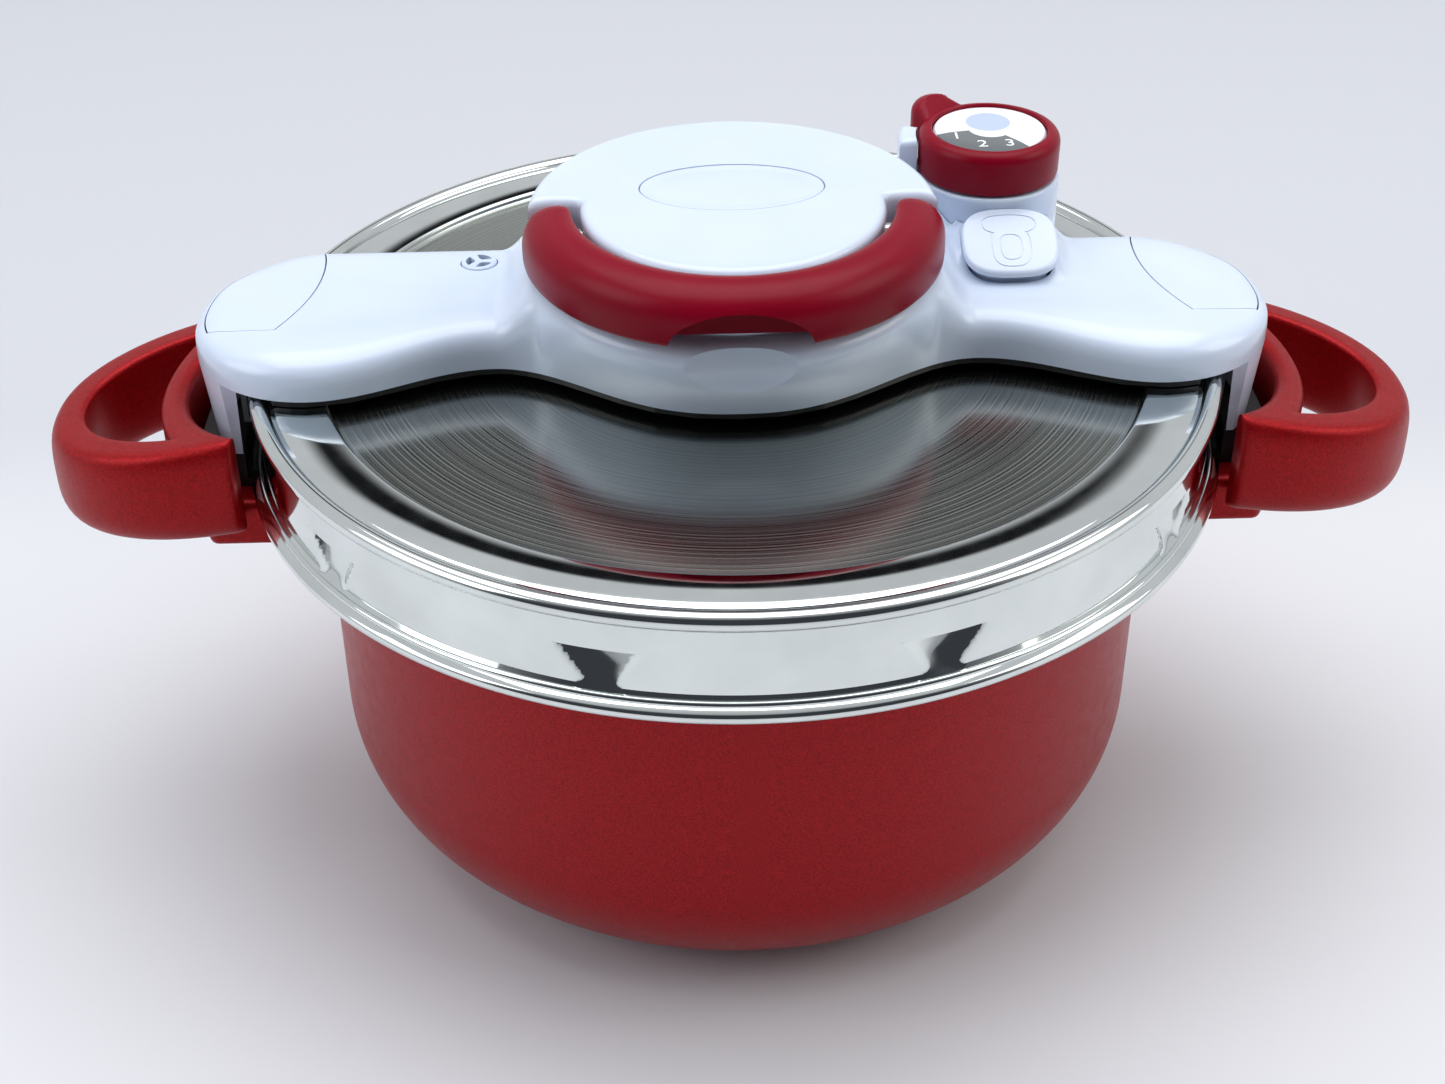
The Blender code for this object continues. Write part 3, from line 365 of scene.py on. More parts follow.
# %% [markdown]
# ## Metals
# The lid is pressed stainless steel, polished like a mirror on its skirt and beads. Its dish is
# finished on a turntable, so fine lines run round the middle. The lines are noise read along the
# radius, and the sheet stays a metal with its default IOR. The brushed middle is painted darker, as painted
# shade.

# %% Steels, brass and non-stick
def radius_of(tree, place):
    """How far a place is from the Z axis."""
    flat = add_node(tree, "VectorMath", {"operation": 'MULTIPLY'}, {1: (1, 1, 0)}, {0: place})
    size = add_node(tree, "VectorMath", {"operation": 'LENGTH'}, links={0: flat.outputs["Vector"]})
    return size.outputs["Value"]


def polished_steel(name, tone, rough, dish=0.0):
    """dish is the radius of a turntable-brushed middle, in metres, or 0 for none."""
    made, tree, shader, place = new_finish(name, Metallic=1.0, Roughness=rough)
    smear = grain(tree, place, 0.02, 3)
    colour = colour_ramp(tree, smear, *tone)
    tree.links.new(colour, shader.inputs["Base Color"])
    fine = spread(tree, grain(tree, place, 0.006, 4), rough - 0.015, rough + 0.02)
    if not dish:
        tree.links.new(fine, shader.inputs["Roughness"])
        return made
    radius = radius_of(tree, place)
    # brushing lines 0.6 mm apart, which is coarser than the real 0.1 mm so that they show
    lines = add_node(tree, "TexNoise", {"noise_dimensions": '1D'}, {"Scale": 1 / 0.0006, "Detail": 4.0},
                     {"W": radius}).outputs["Fac"]
    inside = fade(tree, radius, dish, dish - 0.001)
    brushed = spread(tree, lines, 0.13, 0.24)
    # painted shade: the brushed middle is painted darker than the polished edge, for the light that is
    # caught between the brushing lines
    brushed_painted_shade = colour_ramp(tree, lines, "9C9F9B", "BCC0BB")
    toned = add_node(tree, "Mix", RGBA, links={0: inside, 6: colour, 7: brushed_painted_shade})
    tree.links.new(toned.outputs[2], shader.inputs["Base Color"])
    rough_mix = add_node(tree, "Mix", {"data_type": 'FLOAT'}, links={0: inside, 2: fine, 3: brushed})
    tree.links.new(rough_mix.outputs[0], shader.inputs["Roughness"])
    bump(tree, shader, times(tree, lines, inside), 0.000004, 0.6)
    return made


lid_steel = polished_steel("polished_stainless_lid", ("D3D8D6", "DFE4E2"), 0.055, dish=0.114)
plain_steel = polished_steel("stamped_stainless_steel", ("B4B5B3", "C4C5C3"), 0.20)
satin_steel = polished_steel("satin_stainless_bracket", ("B9BABA", "C9CACA"), 0.28)
brass = polished_steel("turned_brass", ("B08A45", "C39C55"), 0.22)
nonstick = moulded("dark_ptfe_coating", "232427", "303135", 0.38, 0.0007, 0.00002)

# %% [markdown]
# ## Finishes for the CAD nodes that stay
# Screws, nuts, shaft, jaws and other hidden hardware already have their real shapes, so they keep
# the frame's meshes and only change their material slots.

# %% Put a finish on each carried-over node
# a star stands for left and right
kept_finishes = {
    plain_steel: "bail_shaft valve_nozzle valve_nut indicator_guide indicator_nut safety_valve_nut cam_* "
                 "shaft_bearing_* jaw_* drawbar_* jaw_rivet_* lid_bolt_* lid_nut_* handle_screw_*",
    satin_steel: "handle_bracket_*",
    black_nylon: "lid_chassis button_guide handle_insert_*",
    grey_silicone: "gasket",
    crimson_plastic: "indicator_pin",
    brass: "safety_valve",
}
finished = set()
for finish, words in kept_finishes.items():
    for name in (word.replace("*", side) for word in words.split() for side in ("left", "right")):
        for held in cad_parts[name].material_slots:
            held.material = finish
        finished.add(name)
print("finished CAD nodes:", len(finished))

# %% Colour, shade and mount a new piece
def mount(piece, finish, body, slot, *nodes, smooth=35):
    """Give a piece its finish and shading, and let it ride and stand in for its CAD nodes."""
    if not piece.data.materials:
        piece.data.materials.append(finish)
    pick(piece)
    bpy.ops.object.shade_smooth_by_angle(angle=radians(smooth))
    start_clean()
    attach(piece, body)
    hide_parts(*nodes)
    print("%s: %d faces" % (piece.name, len(piece.data.polygons)))

# %% [markdown]
# ## The pot
# A pot like this is deep-drawn and spun, so it is a turned shape: one profile goes down the
# outside, round the wide corner, back up the inside and over the rolled rim. The outside is
# lacquered, the inside has a dark non-stick coat, and the rim between them is bare steel.

# %% Turn the pot and the plate under it
WALL, BASE_THICK = 0.002, 0.0025
corner, floor = 0.038, pot_low.z
outside = [(0, floor)] + arc((POT_R - corner, floor + corner), corner, -90, 0, 28)
outside += [(POT_R, floor + 0.06), (POT_R, POT_TOP - 0.012), (POT_R, POT_TOP - 0.0035)]
rim = arc((POT_R + 0.001, POT_TOP - 0.0035), 0.001, 180, 90, 4)
rim += arc((RIM_R - 0.0011, POT_TOP - 0.0012), 0.0011, -80, 90, 8)
rim += arc((POT_R - WALL + 0.0014, POT_TOP - 0.0014), 0.0014, 90, 180, 6)
hollow = corner - WALL
inside = [(POT_R - WALL, floor + 0.06)]
inside += arc((POT_R - WALL - hollow, floor + BASE_THICK + hollow), hollow, 0, -90, 24)
inside += [(0, floor + BASE_THICK)]
pot = lathe("pot_shell", outside + rim + inside, steps=192)
for coat in (lacquer, nonstick, plain_steel):
    pot.data.materials.append(coat)
for face in pot.data.polygons:
    middle = face.center
    radius = hypot(middle.x, middle.y)
    if middle.z > POT_TOP - 0.0033 or radius > POT_R + 0.0002:
        face.material_index = 2
    elif radius < POT_R - WALL / 2 and face.normal.z > -0.3 and middle.z > floor + 0.001:
        inward = face.normal.x * middle.x + face.normal.y * middle.y < 0.0001
        face.material_index = 1 if inward or face.normal.z > 0.9 else 0
mount(pot, lacquer, "pot", "lacquer", "pot_body")

disc_r, disc_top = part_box("base_disc")[1].x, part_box("base_disc")[1].z
profile = [(0, 0.0)]
for k in range(9):
    start = 0.012 + 0.0075 * k
    profile += [(start, 0.0), (start + 0.0006, 0.0004), (start + 0.0018, 0.0004), (start + 0.0024, 0.0)]
profile += arc((disc_r - 0.001, 0.001), 0.001, -90, 0, 5) + [(disc_r, disc_top), (0, disc_top)]
mount(lathe("base_plate", profile, steps=128), satin_steel, "pot", "steel", "base_disc")

# %% [markdown]
# ## The lid
# The lid is pressed from one sheet: a flat dish, a raised ledge, a rolled bead, and a skirt that
# ends in a second, double bead. It is turned from one closed profile. The lances, which are small
# scoops pressed into the skirt to locate the lid on the rim, are then pushed in vertex by vertex.

# %% Turn the lid's section
DISH_R, SKIRT_WALL, LID_STEPS = POT_R - 0.0015, 0.0012, 600
skirt_top, skirt_low = BEAD_R + 0.0009, LOW_BEAD_R - 0.0020
outer = [(0, DISH_TOP), (DISH_R - 0.004, DISH_TOP)]
outer += arc((DISH_R - 0.003, DISH_TOP + 0.001), 0.001, -90, -20, 4)
outer += arc((DISH_R - 0.0011, LEDGE_TOP - 0.001), 0.001, 160, 90, 4)
outer += [(DISH_R + 0.004, LEDGE_TOP), (BEAD_R - 0.0042, LEDGE_TOP), (BEAD_R - 0.0034, LEDGE_TOP - 0.0003),
          (BEAD_R - 0.0028, LEDGE_TOP - 0.0002)]
outer += arc((BEAD_R, BEAD_Z), 0.0026, 150, 62, 9) + arc((BEAD_R, BEAD_Z), 0.0026, 52, -48, 10)
slope_z = [BEAD_Z - 0.0026, BEAD_Z - 0.0032, BEAD_Z - 0.0050]
LANCE_TOP, LANCE_LOW = BEAD_Z - 0.0102, LOW_BEAD_Z + 0.0046
slope_z += [LANCE_TOP + 0.00015, LANCE_TOP]
slope_z += [LANCE_TOP + (LANCE_LOW - LANCE_TOP) * k / 9 for k in range(1, 10)]


def skirt_radius(z):
    return skirt_top + (skirt_low - skirt_top) * (BEAD_Z - 0.0026 - z) / (BEAD_Z - 0.0026 - LANCE_LOW)


outer += [(skirt_radius(z), z) for z in slope_z]
outer += arc((LOW_BEAD_R - 0.0012, LOW_BEAD_Z + 0.0024), 0.0012, 95, -10, 6)
outer += arc((LOW_BEAD_R, LOW_BEAD_Z), 0.0020, 48, -100, 12)
inner = [(LOW_BEAD_R - 0.0022, LOW_BEAD_Z - 0.0006), (LOW_BEAD_R - 0.0026, LOW_BEAD_Z + 0.0026)]
inner += [(skirt_radius(z) - SKIRT_WALL, z) for z in reversed(slope_z)]
inner += [(BEAD_R - 0.0014, DISH_TOP - 0.0008), (BEAD_R - 0.0036, LEDGE_TOP - 0.0015),
          (DISH_R + 0.0002, LEDGE_TOP - 0.0015), (DISH_R - 0.0026, DISH_UNDER), (0, DISH_UNDER)]
lid = lathe("lid_pressing", outer + inner, steps=LID_STEPS)
print("lid: %d points round %d steps" % (len(outer + inner), LID_STEPS))

# %% Press the lances into the skirt
LANCE_HALF_TOP, LANCE_HALF_LOW, LANCE_DEPTH = 0.0104, 0.0042, 0.0042
lance_bearings = [side * (34 + 36 * k) for side in (-1, 1) for k in range(4)]
for vert in lid.data.vertices:
    x, y, z = vert.co
    radius = hypot(x, y)
    if not (LANCE_LOW - 0.0001 < z < LANCE_TOP + 0.0001) or radius < skirt_radius(z) - 0.002:
        continue
    down = max(0.0, min(1.0, (LANCE_TOP - z) / (LANCE_TOP - LANCE_LOW)))
    half = LANCE_HALF_TOP + (LANCE_HALF_LOW - LANCE_HALF_TOP) * down
    for bearing in lance_bearings:
        apart = degrees(atan2(y, x)) - bearing
        apart = radians((apart + 180) % 360 - 180) * radius
        if abs(apart) < half:
            across = 1 - (abs(apart) / half) ** 2
            depth = LANCE_DEPTH * across ** 0.62 * (1 - down) ** 0.75
            vert.co.x -= depth * x / radius
            vert.co.y -= depth * y / radius

# %% Cut the jaw windows and the holes for the fittings
jaw_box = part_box("jaw_right")
jaw_half, lip_low = jaw_box[1].y + 0.0005, jaw_box[0].z - 0.0005
cutters = []
for side in (-1, 1):
    window = rectangle(side * (RIM_R + 0.003), side * (LOW_BEAD_R + 0.01), -jaw_half, jaw_half)
    cutters.append(plate("window_tool", window, lip_low, lip_low + 0.0025))
for node, radius in (("valve_nozzle", 0.0053), ("indicator_guide", 0.0043), ("safety_valve", 0.0058),
                     ("lid_bolt_left", 0.0023), ("lid_bolt_right", 0.0023)):
    low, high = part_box(node)
    centre = ((low.x + high.x) / 2, (low.y + high.y) / 2)
    cutters.append(plate("hole_tool", circle(centre, radius, 32), DISH_UNDER - 0.005, LEDGE_TOP + 0.005))
cut(lid, join(cutters))
mount(lid, lid_steel, "lid", "steel", "lid_shell", smooth=30)

# %% [markdown]
# ## The bridge
# The bridge is one hollow moulding: a high hub in the middle, two wings that swell towards their
# ends, and a leg at each end that reaches down past the skirt. It is lofted: a section is a
# rounded arch with a wall, and its width and height change along the bridge.

# %% The bridge's widths and heights along X
HUB_R, LIP_R = 0.0555, 0.0575
WAIST_X, SHOULDER, LOBE_RUN = HUB_R + 0.0095, 0.013, 0.0335
LOBE_X, LEG_INNER = BEAM_END - LOBE_RUN, BEAM_END - 0.0057
FRONT_HUB, FRONT_WAIST, FRONT_LOBE, BACK = HUB_R - 0.010, 0.019, 0.0344, 0.036
BEAM_RISE, HUB_RISE = 0.0124, HUB_TOP - COVER_Z
BEAM_TOP = COVER_Z + BEAM_RISE
LEG_START = LOBE_X + LOBE_RUN * sqrt(1 - (0.0235 / FRONT_LOBE) ** 2)


def ease(t):
    return (1 - cos(pi * max(0.0, min(1.0, t)))) / 2


def end_taper(x):
    return sqrt(max(0.0, 1 - max(0.0, (x - LOBE_X) / LOBE_RUN) ** 2))


def front_half(x):
    if x < WAIST_X:
        return FRONT_WAIST + (FRONT_HUB - FRONT_WAIST) * (1 - ease((x / WAIST_X) ** 1.25))
    rise = ease((x - WAIST_X) / (LOBE_X - WAIST_X))
    return (FRONT_WAIST + (FRONT_LOBE - FRONT_WAIST) * rise) * end_taper(x)


def back_half(x):
    return (BACK + (HUB_R + 0.001 - BACK) * (1 - ease(x / (WAIST_X * 0.95)))) * end_taper(x)


def beam_height(x):
    height = BEAM_RISE + (HUB_RISE - BEAM_RISE) * (1 - ease((x - HUB_R + 0.003) / SHOULDER))
    height -= 0.0030 * ease((x - LOBE_X) / LOBE_RUN)
    past = (x - (BEAM_END - 0.0085)) / 0.0085
    return height - (0.0052 * (1 - sqrt(max(0.0, 1 - past * past))) if past > 0 else 0.0)


# %% [markdown]
# The release pad stands on a pedestal that the bridge rises into, and the pedestal runs back
# into the valve's collar. It is added to the height of the section where it lies.

# %% The pedestal under the release pad
# the pad is a little larger than the CAD button, and reaches further to the left
PAD_X = (button_low.x + button_high.x) / 2 - 0.0014
PAD_Y = (button_low.y + button_high.y) / 2 + 0.0003
PAD_HALF_X = (button_high.x - button_low.x) / 2 + 0.0016
PAD_HALF_Y = (button_high.y - button_low.y) / 2 + 0.0004
PAD_RISE, PAD_SLOPE, TURRET_R = 0.0086, tan(radians(24)), 0.0205
PEDESTAL_MAX, PLINTH = 0.0082, 0.0062


def outside_pad(dx, dy):
    """About how far a place is outside the pad's rounded outline, in metres."""
    half_x, half_y = PAD_HALF_X - 0.0002, PAD_HALF_Y - 0.0002
    size = (abs(dx / half_x) ** 4 + abs(dy / half_y) ** 4) ** 0.25
    return max(0.0, size - 1) * min(half_x, half_y)


def pedestal(x, y):
    """Height to add to the bridge's top at a place."""
    back = max(0.0, y - PAD_Y)
    apart = outside_pad(x - PAD_X, y - PAD_Y - min(back, 0.012))
    flare = max(0.0, 1 - max(0.0, apart - 0.0003) / 0.0052) ** 2.2
    slope = PAD_RISE - 0.0042 + PAD_SLOPE * (y - PAD_Y)
    from_collar = hypot(x - VALVE.x, y - VALVE.y) - TURRET_R
    plinth = PLINTH * max(0.0, 1 - max(0.0, from_collar) / 0.0060) ** 2
    return max(max(0.0, min(slope, PEDESTAL_MAX)) * flare, plinth)


# %% The section: an arch with evenly spaced points
def even_arch(count, power=4.2, aspect=0.38):
    """Points (u, w) on half a superellipse, spaced evenly for a shape as flat as the bridge."""
    dense = [superellipse(1.0, 1.0, power, pi * k / 4000) for k in range(4001)]
    run = [0.0]
    for (u0, w0), (u1, w1) in zip(dense, dense[1:]):
        run.append(run[-1] + hypot(u1 - u0, (w1 - w0) * aspect))
    points, at = [], 0
    for k in range(count + 1):
        while at < 4000 and run[at] < run[-1] * k / count:
            at += 1
        points.append(dense[at])
    return points


ARCH = even_arch(84)


def section(x, inset):
    size = abs(x)
    front, back, here = front_half(size), back_half(size), size
    if inset:
        blunt = end_taper(size)
        fill = min((1 - (1 - blunt ** 2) ** 1.25) ** 0.4 / max(blunt, 0.001), 1.12)
        behind_scoop = 0.0040 * (1 - ease((size - 0.018) / 0.008))
        front, back = front * fill - inset - behind_scoop, back * fill - inset
        if size > LOBE_X:
            here = LOBE_X + (size - LOBE_X) * (LEG_INNER - LOBE_X) / LOBE_RUN
    front, back = max(front, 0.0008), max(back, 0.0008)
    top = COVER_Z + beam_height(size) - inset
    leg = size > LEG_START
    foot = LEG_Z if leg else COVER_Z
    lean = 0.0022 if leg and not inset else 0.0
    # the hub's front leans out to a round lip under the bail
    overhang = max(0.0, sqrt(max(0.0, LIP_R ** 2 - size ** 2)) - front_half(size))
    firm = 1 - 0.5 * min(1.0, overhang / 0.011)
    side = copysign(1, x)
    points = [Vector((side * (here - lean), -front, foot))]
    for u, w in ARCH:
        y = -u ** firm * (front + overhang * w) if u > 0 else -u * back
        z = COVER_Z + (top - COVER_Z) * w
        if not inset and w > 0.5 and x > 0:
            z += pedestal(x, y) * min(1.0, (w - 0.5) / 0.4)
        points.append(Vector((side * here, y, z)))
    points.append(Vector((side * (here - lean), back, foot)))
    return points


# %% Loft the bridge from end to end
BRIDGE_WALL = 0.0025
places = [0.0012 * k for k in range(int(LOBE_X / 0.0012))]
places += [LOBE_X + LOBE_RUN * sin(radians(86.5) * k / 30) for k in range(31)]
places = [-x for x in reversed(places[1:])] + places
rings = []
for x in places:
    skin, lining = section(x, 0.0), section(x, BRIDGE_WALL)
    rings.append(skin + lining[::-1])
bridge = loft("bridge_cover", rings, caps=False)
arch_size = len(ARCH) + 2
pick(bridge)
bpy.ops.object.mode_set(mode='EDIT')
for ring in (rings[0], rings[-1]):
    foot = [ring[0], ring[arch_size - 1], ring[arch_size], ring[-1]]
    for patch in (ring[:arch_size], ring[arch_size:], foot):
        wanted = {tuple(round(c, 6) for c in place) for place in patch}
        bpy.ops.mesh.select_all(action='DESELECT')
        bm = bmesh.from_edit_mesh(bridge.data)
        for vert in bm.verts:
            vert.select = tuple(round(c, 6) for c in vert.co) in wanted
        bpy.ops.mesh.edge_face_add()
close_up(bridge)
print("bridge: %d faces" % len(bridge.data.polygons))

# %% [markdown]
# The end pads are two leaf-shaped covers, one on each wing, with only a thin line round them.
# They have the bridge's own surface, so each is what a leaf-shaped tool leaves of a copy.

# %% Leaf-shaped end pads, cut from a copy of the bridge
def leaf(side, grow):
    edge = 0.0034 - grow
    points = []
    for k in range(41):
        angle = radians(-22 + 92 * k / 40)
        half = BACK if angle > 0 else FRONT_LOBE
        points.append((LOBE_X + (LOBE_RUN - edge) * cos(angle), (half - edge) * sin(angle)))
    points += arc((LOBE_X + 0.0601, 0.0165), 0.0601 + grow, 165, 212.5, 32)
    return [(side * x, y) for x, y in points]


pad_low = COVER_Z + 0.004
for label, side in (("left", -1), ("right", 1)):
    pick(bridge)
    bpy.ops.object.duplicate()
    pad = bpy.context.object
    pad.name = "end_pad_cover_" + label
    cut(pad, plate("leaf_tool", leaf(side, 0.0), pad_low, HUB_TOP), 'INTERSECT')
    mount(close_up(pad), white_plastic, "lid", "white", "end_pad_" + label)

# %% [markdown]
# The bridge's openings are cut all at once: the valve's collar and its index post, the hub's
# mouth, the vent, the leaves and the release pad's well. A stretched ball, sunk into the hub's
# front edge, leaves the scoop that a fingertip needs to get under the bail.

# %% Cut the bridge's openings
def post_outline(inset, steps=14):
    """A block on the collar's left side, which a negative inset makes larger."""
    left, spread = 172, 15 - degrees(inset / TURRET_R)
    return (arc(VALVE_AT, TURRET_R + 0.0055 - inset, left - spread, left + spread, steps)
            + arc(VALVE_AT, TURRET_R - 0.003 + max(inset, 0.0), left + spread, left - spread, steps))


def pad_outline(inset):
    """The release pad's plan: the pad narrows by it, and its well in the bridge is cut by it."""
    return oval((PAD_X, PAD_Y), PAD_HALF_X - inset, PAD_HALF_Y - inset, 96, 2.9)


WELL_INSET, LEAF_LINE, HUB_MOUTH_R, VENT_HOLE_R = 0.0010, 0.00042, 0.039, 0.0053
collar = plate("collar_tool", circle(VALVE_AT, TURRET_R + GAP), DISH_TOP, HUB_TOP + 0.03)
cut(collar, plate("post_tool", post_outline(-GAP, 12), DISH_TOP, HUB_TOP + 0.03), 'UNION')
cut(collar, plate("well_tool", pad_outline(WELL_INSET), COVER_Z + 0.002, HUB_TOP + 0.02), 'UNION')
cutters = [collar, plate("hub_tool", circle((0, 0), HUB_MOUTH_R), HUB_TOP - 0.012, HUB_TOP + 0.01),
           plate("vent_tool", circle(VENT_AT, VENT_HOLE_R, 64), BEAM_TOP - 0.012, BEAM_TOP + 0.01)]
cutters += [plate("leaf_tool", leaf(side, LEAF_LINE), pad_low - 0.001, HUB_TOP + 0.001) for side in (-1, 1)]
SCOOP_AT, SCOOP_SIZE = (0, -0.0584, HUB_TOP - 0.0036), (0.0240, 0.0100, 0.0180)
start_clean()
bpy.ops.mesh.primitive_uv_sphere_add(segments=96, ring_count=64, radius=1, location=SCOOP_AT)
scoop = bpy.context.object
scoop.scale = SCOOP_SIZE
bpy.ops.object.transform_apply(location=True, rotation=True, scale=True)
cut(bridge, join(cutters + [scoop]))
mount(bridge, white_plastic, "lid", "white", "beam_cover")

# %% The round vent insert, with three slots
vent_top = vent_high.z
profile = [(0, vent_low.z), (0.005, vent_low.z), (0.005, vent_top - 0.0008)]
profile += arc((0.0043, vent_top - 0.0007), 0.0007, 0, 90, 5) + [(0, vent_top - 0.0001)]
vent = lathe("vent_insert", profile, centre=VENT_AT, steps=64)
slots = []
for k in range(3):
    bearing = 60 + 120 * k
    far = arc(VENT_AT, 0.0037, bearing - 42, bearing + 42, 16)
    near = arc(VENT_AT, 0.0012, bearing + 18, bearing - 18, 6)
    slots.append(plate("slot_tool", far + near, vent_low.z - 0.002, vent_top + 0.002))
cut(vent, join(slots))
mount(vent, white_plastic, "lid", "white", "vent_grille")

# %% [markdown]
# ## The cap
# The cap closes the hub. It is a disc inside the bail, and a wider half disc behind the bail's
# tips, so its outline has two small steps. Sections of that outline are lofted from the foot up,
# each a little further in, which rounds the top edge evenly.

# %% The cap's outline, and its rounded shell
TIP_CORNER, TIP_INNER = Vector((0.0487, -0.0066)), Vector((0.0476, 0.0018))


def heading(bearing):
    """A step of length 1 along a bearing in degrees."""
    return Vector((cos(radians(bearing)), sin(radians(bearing))))


def cap_outline(inset):
    """The rear half is wide, and it follows the bail's rounded tips down to the front disc."""
    front, rear = 0.041 - inset, 0.055 - inset
    outer, inner = 0.0099 + inset, 0.0015 + inset
    low, high = 0.0, 90.0
    # halving finds where the arc round the bail's tip meets the rear circle
    for _ in range(40):
        turn = (low + high) / 2
        last = TIP_CORNER + outer * heading(turn)
        low, high = (turn, high) if last.length > rear else (low, turn)
    start = degrees(atan2(last.y, last.x))
    join_at = degrees(asin(TIP_INNER.y / front))
    right = [(x * (inner + 0.0049) / inner, y) for x, y in arc((0, 0), inner, 172, 92, 10)]
    right = [(TIP_INNER.x + x, TIP_INNER.y + y) for x, y in right] + arc(TIP_CORNER, outer, 88, turn, 8)
    left = [(-x, y) for x, y in reversed(right)]
    return (arc((0, 0), rear, start + 0.8, 179.2 - start, 100) + left
            + arc((0, 0), front, 180 - join_at, 360 + join_at, 120) + right)


def stack(name, outline, levels):
    """Loft an outline upwards: levels are (height, inset)."""
    return loft(name, [[Vector((x, y, z)) for x, y in outline(inset)] for z, inset in levels])


ROUND = 0.0026
levels = [(CAP_Z, 0.0), (CAP_TOP - ROUND - 0.004, 0.0)]
levels += rounding(CAP_TOP - ROUND, ROUND, range(0, 91, 10)) + [(CAP_TOP, ROUND + 0.002)]
cap = stack("cap_shell", cap_outline, levels)
shaft_low, shaft_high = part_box("bail_shaft")
shaft_z, shaft_y = shaft_low.z + 0.003, (shaft_low.y + shaft_high.y) / 2
hollow = stack("hollow_tool", cap_outline, [(CAP_Z - 0.01, 0.0025), (CAP_TOP - 0.0032, 0.0025)])
reach, room = 0.046, 0.004
slot = rectangle(-reach, reach, shaft_y - room, shaft_y + room)
cut(hollow, plate("shaft_slot_tool", slot, CAP_Z - 0.012, shaft_z + room), 'UNION')
badge_low, badge_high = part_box("cap_inlay")
badge_half_x, badge_half_y = badge_high.x, (badge_high.y - badge_low.y) / 2
badge_y = (badge_low.y + badge_high.y) / 2


def badge_outline(inset):
    return oval((0, badge_y), badge_half_x - inset, badge_half_y - inset, 128)


pocket = plate("pocket_tool", badge_outline(-GAP), badge_low.z - GAP, CAP_TOP + 0.01)
cut(cap, join([hollow, pocket]))
mount(cap, white_plastic, "lid", "white", "hub_cap", smooth=28)
levels = [(badge_low.z, 0.0), (CAP_TOP - 0.0004, 0.0), (CAP_TOP - 0.0001, 0.00015), (CAP_TOP, 0.0005),
          (CAP_TOP, 0.0035), (CAP_TOP - 0.0001, 0.0045)]
mount(stack("cap_badge", badge_outline, levels), white_plastic, "lid", "white", "cap_inlay", smooth=28)

# %% [markdown]
# ## The bail
# The bail is a half ring that folds down round the cap. Its section is a rounded D: upright
# inside, with a soft shoulder that falls away to the outside. The section is lofted round the
# ring and shrinks into a rounded tip at both ends, which turn on the shaft. A notch in front
# takes a finger.

# %% Loft the bail and cut its notch and bore
bail_low, bail_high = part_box("bail_handle")
BAIL_IN, BAIL_OUT = 0.0434, bail_high.x
FOOT, BAIL_TOP = bail_low.z, bail_high.z
PIVOT_Z = shaft_z


def bail_section(count=44):
    """Points (radius, height) round the D, from the inner foot over the top and back."""
    width, height = BAIL_OUT - BAIL_IN, BAIL_TOP - FOOT
    points = [(BAIL_IN, 0.0004), (BAIL_IN, height * 0.4), (BAIL_IN, height - 0.0024)]
    for a in map(radians, (10, 30, 50, 70)):
        points.append((BAIL_IN + 0.0016 - 0.0016 * cos(a), height - 0.0020 + 0.0016 * sin(a)))
    for k in range(15):
        t = radians(88 * k / 14)
        u, w = sin(t) ** 0.9, cos(t) ** 0.72
        points.append((BAIL_IN + 0.0026 + (width - 0.0026) * u,
                       0.22 * height + (0.78 * height - 0.0002) * w))
    points += [(BAIL_OUT, 0.16 * height), (BAIL_OUT - 0.0001, 0.0010), (BAIL_OUT - 0.0006, 0.0002),
               (BAIL_OUT - 0.0014, 0), (BAIL_IN + 0.0006, 0)]
    return points


BAIL_STEPS, NOSE = 150, 0.0085
MIDDLE_R, TIP_REACH = 0.0492, 0.0084
spread_out = degrees(asin((shaft_y + TIP_REACH) / MIDDLE_R))
half_run = radians(90 + spread_out) * MIDDLE_R
rings = []
for k in range(BAIL_STEPS + 1):
    along = -half_run + 2 * half_run * ease(k / BAIL_STEPS)
    into = min(1.0, max(0.0, (abs(along) - half_run + NOSE) / NOSE))
    narrow, lower = (1 - into ** 2.3) ** (1 / 2.3), (1 - into ** 2.8) ** (1 / 2.8)
    narrow, lower = max(narrow, 0.10), max(lower, 0.14)
    bearing = -pi / 2 + along / MIDDLE_R
    ring = []
    for r, h in bail_section():
        r = MIDDLE_R + (r - MIDDLE_R) * narrow
        h = PIVOT_Z - FOOT + (h - PIVOT_Z + FOOT) * lower
        ring.append(Vector((r * cos(bearing), r * sin(bearing), FOOT + h)))
    rings.append(ring)
bail = loft("bail_grip", rings)


def side_plate(name, outline, start, end):
    """A plate of (y, z) points that reaches from one x to another."""
    piece = plate(name, outline, start, end)
    piece.data.transform(Matrix(((0, 0, 1, 0), (1, 0, 0, 0), (0, 1, 0, 0), (0, 0, 0, 1))))
    return close_up(piece)


def front_plate(name, outline, start, end):
    """A plate of (x, z) points that reaches from one y to another."""
    piece = plate(name, outline, start, end)
    piece.data.transform(Matrix(((1, 0, 0, 0), (0, 0, 1, 0), (0, 1, 0, 0), (0, 0, 0, 1))))
    return close_up(piece)


NOTCH_HALF, NOTCH_HIGH, BORE_R, BORE_REACH = 0.0185, 0.0105, 0.0033, 0.0535
notch = oval((0, FOOT - 0.0005), NOTCH_HALF, NOTCH_HIGH, 120)
cut(bail, front_plate("notch_tool", notch, -0.07, -BAIL_IN - 0.0036))
cut(bail, side_plate("bore_tool", circle((shaft_y, PIVOT_Z), BORE_R, 32), -BORE_REACH, BORE_REACH))
mount(bail, crimson_plastic, "bail", "crimson", "bail_handle")

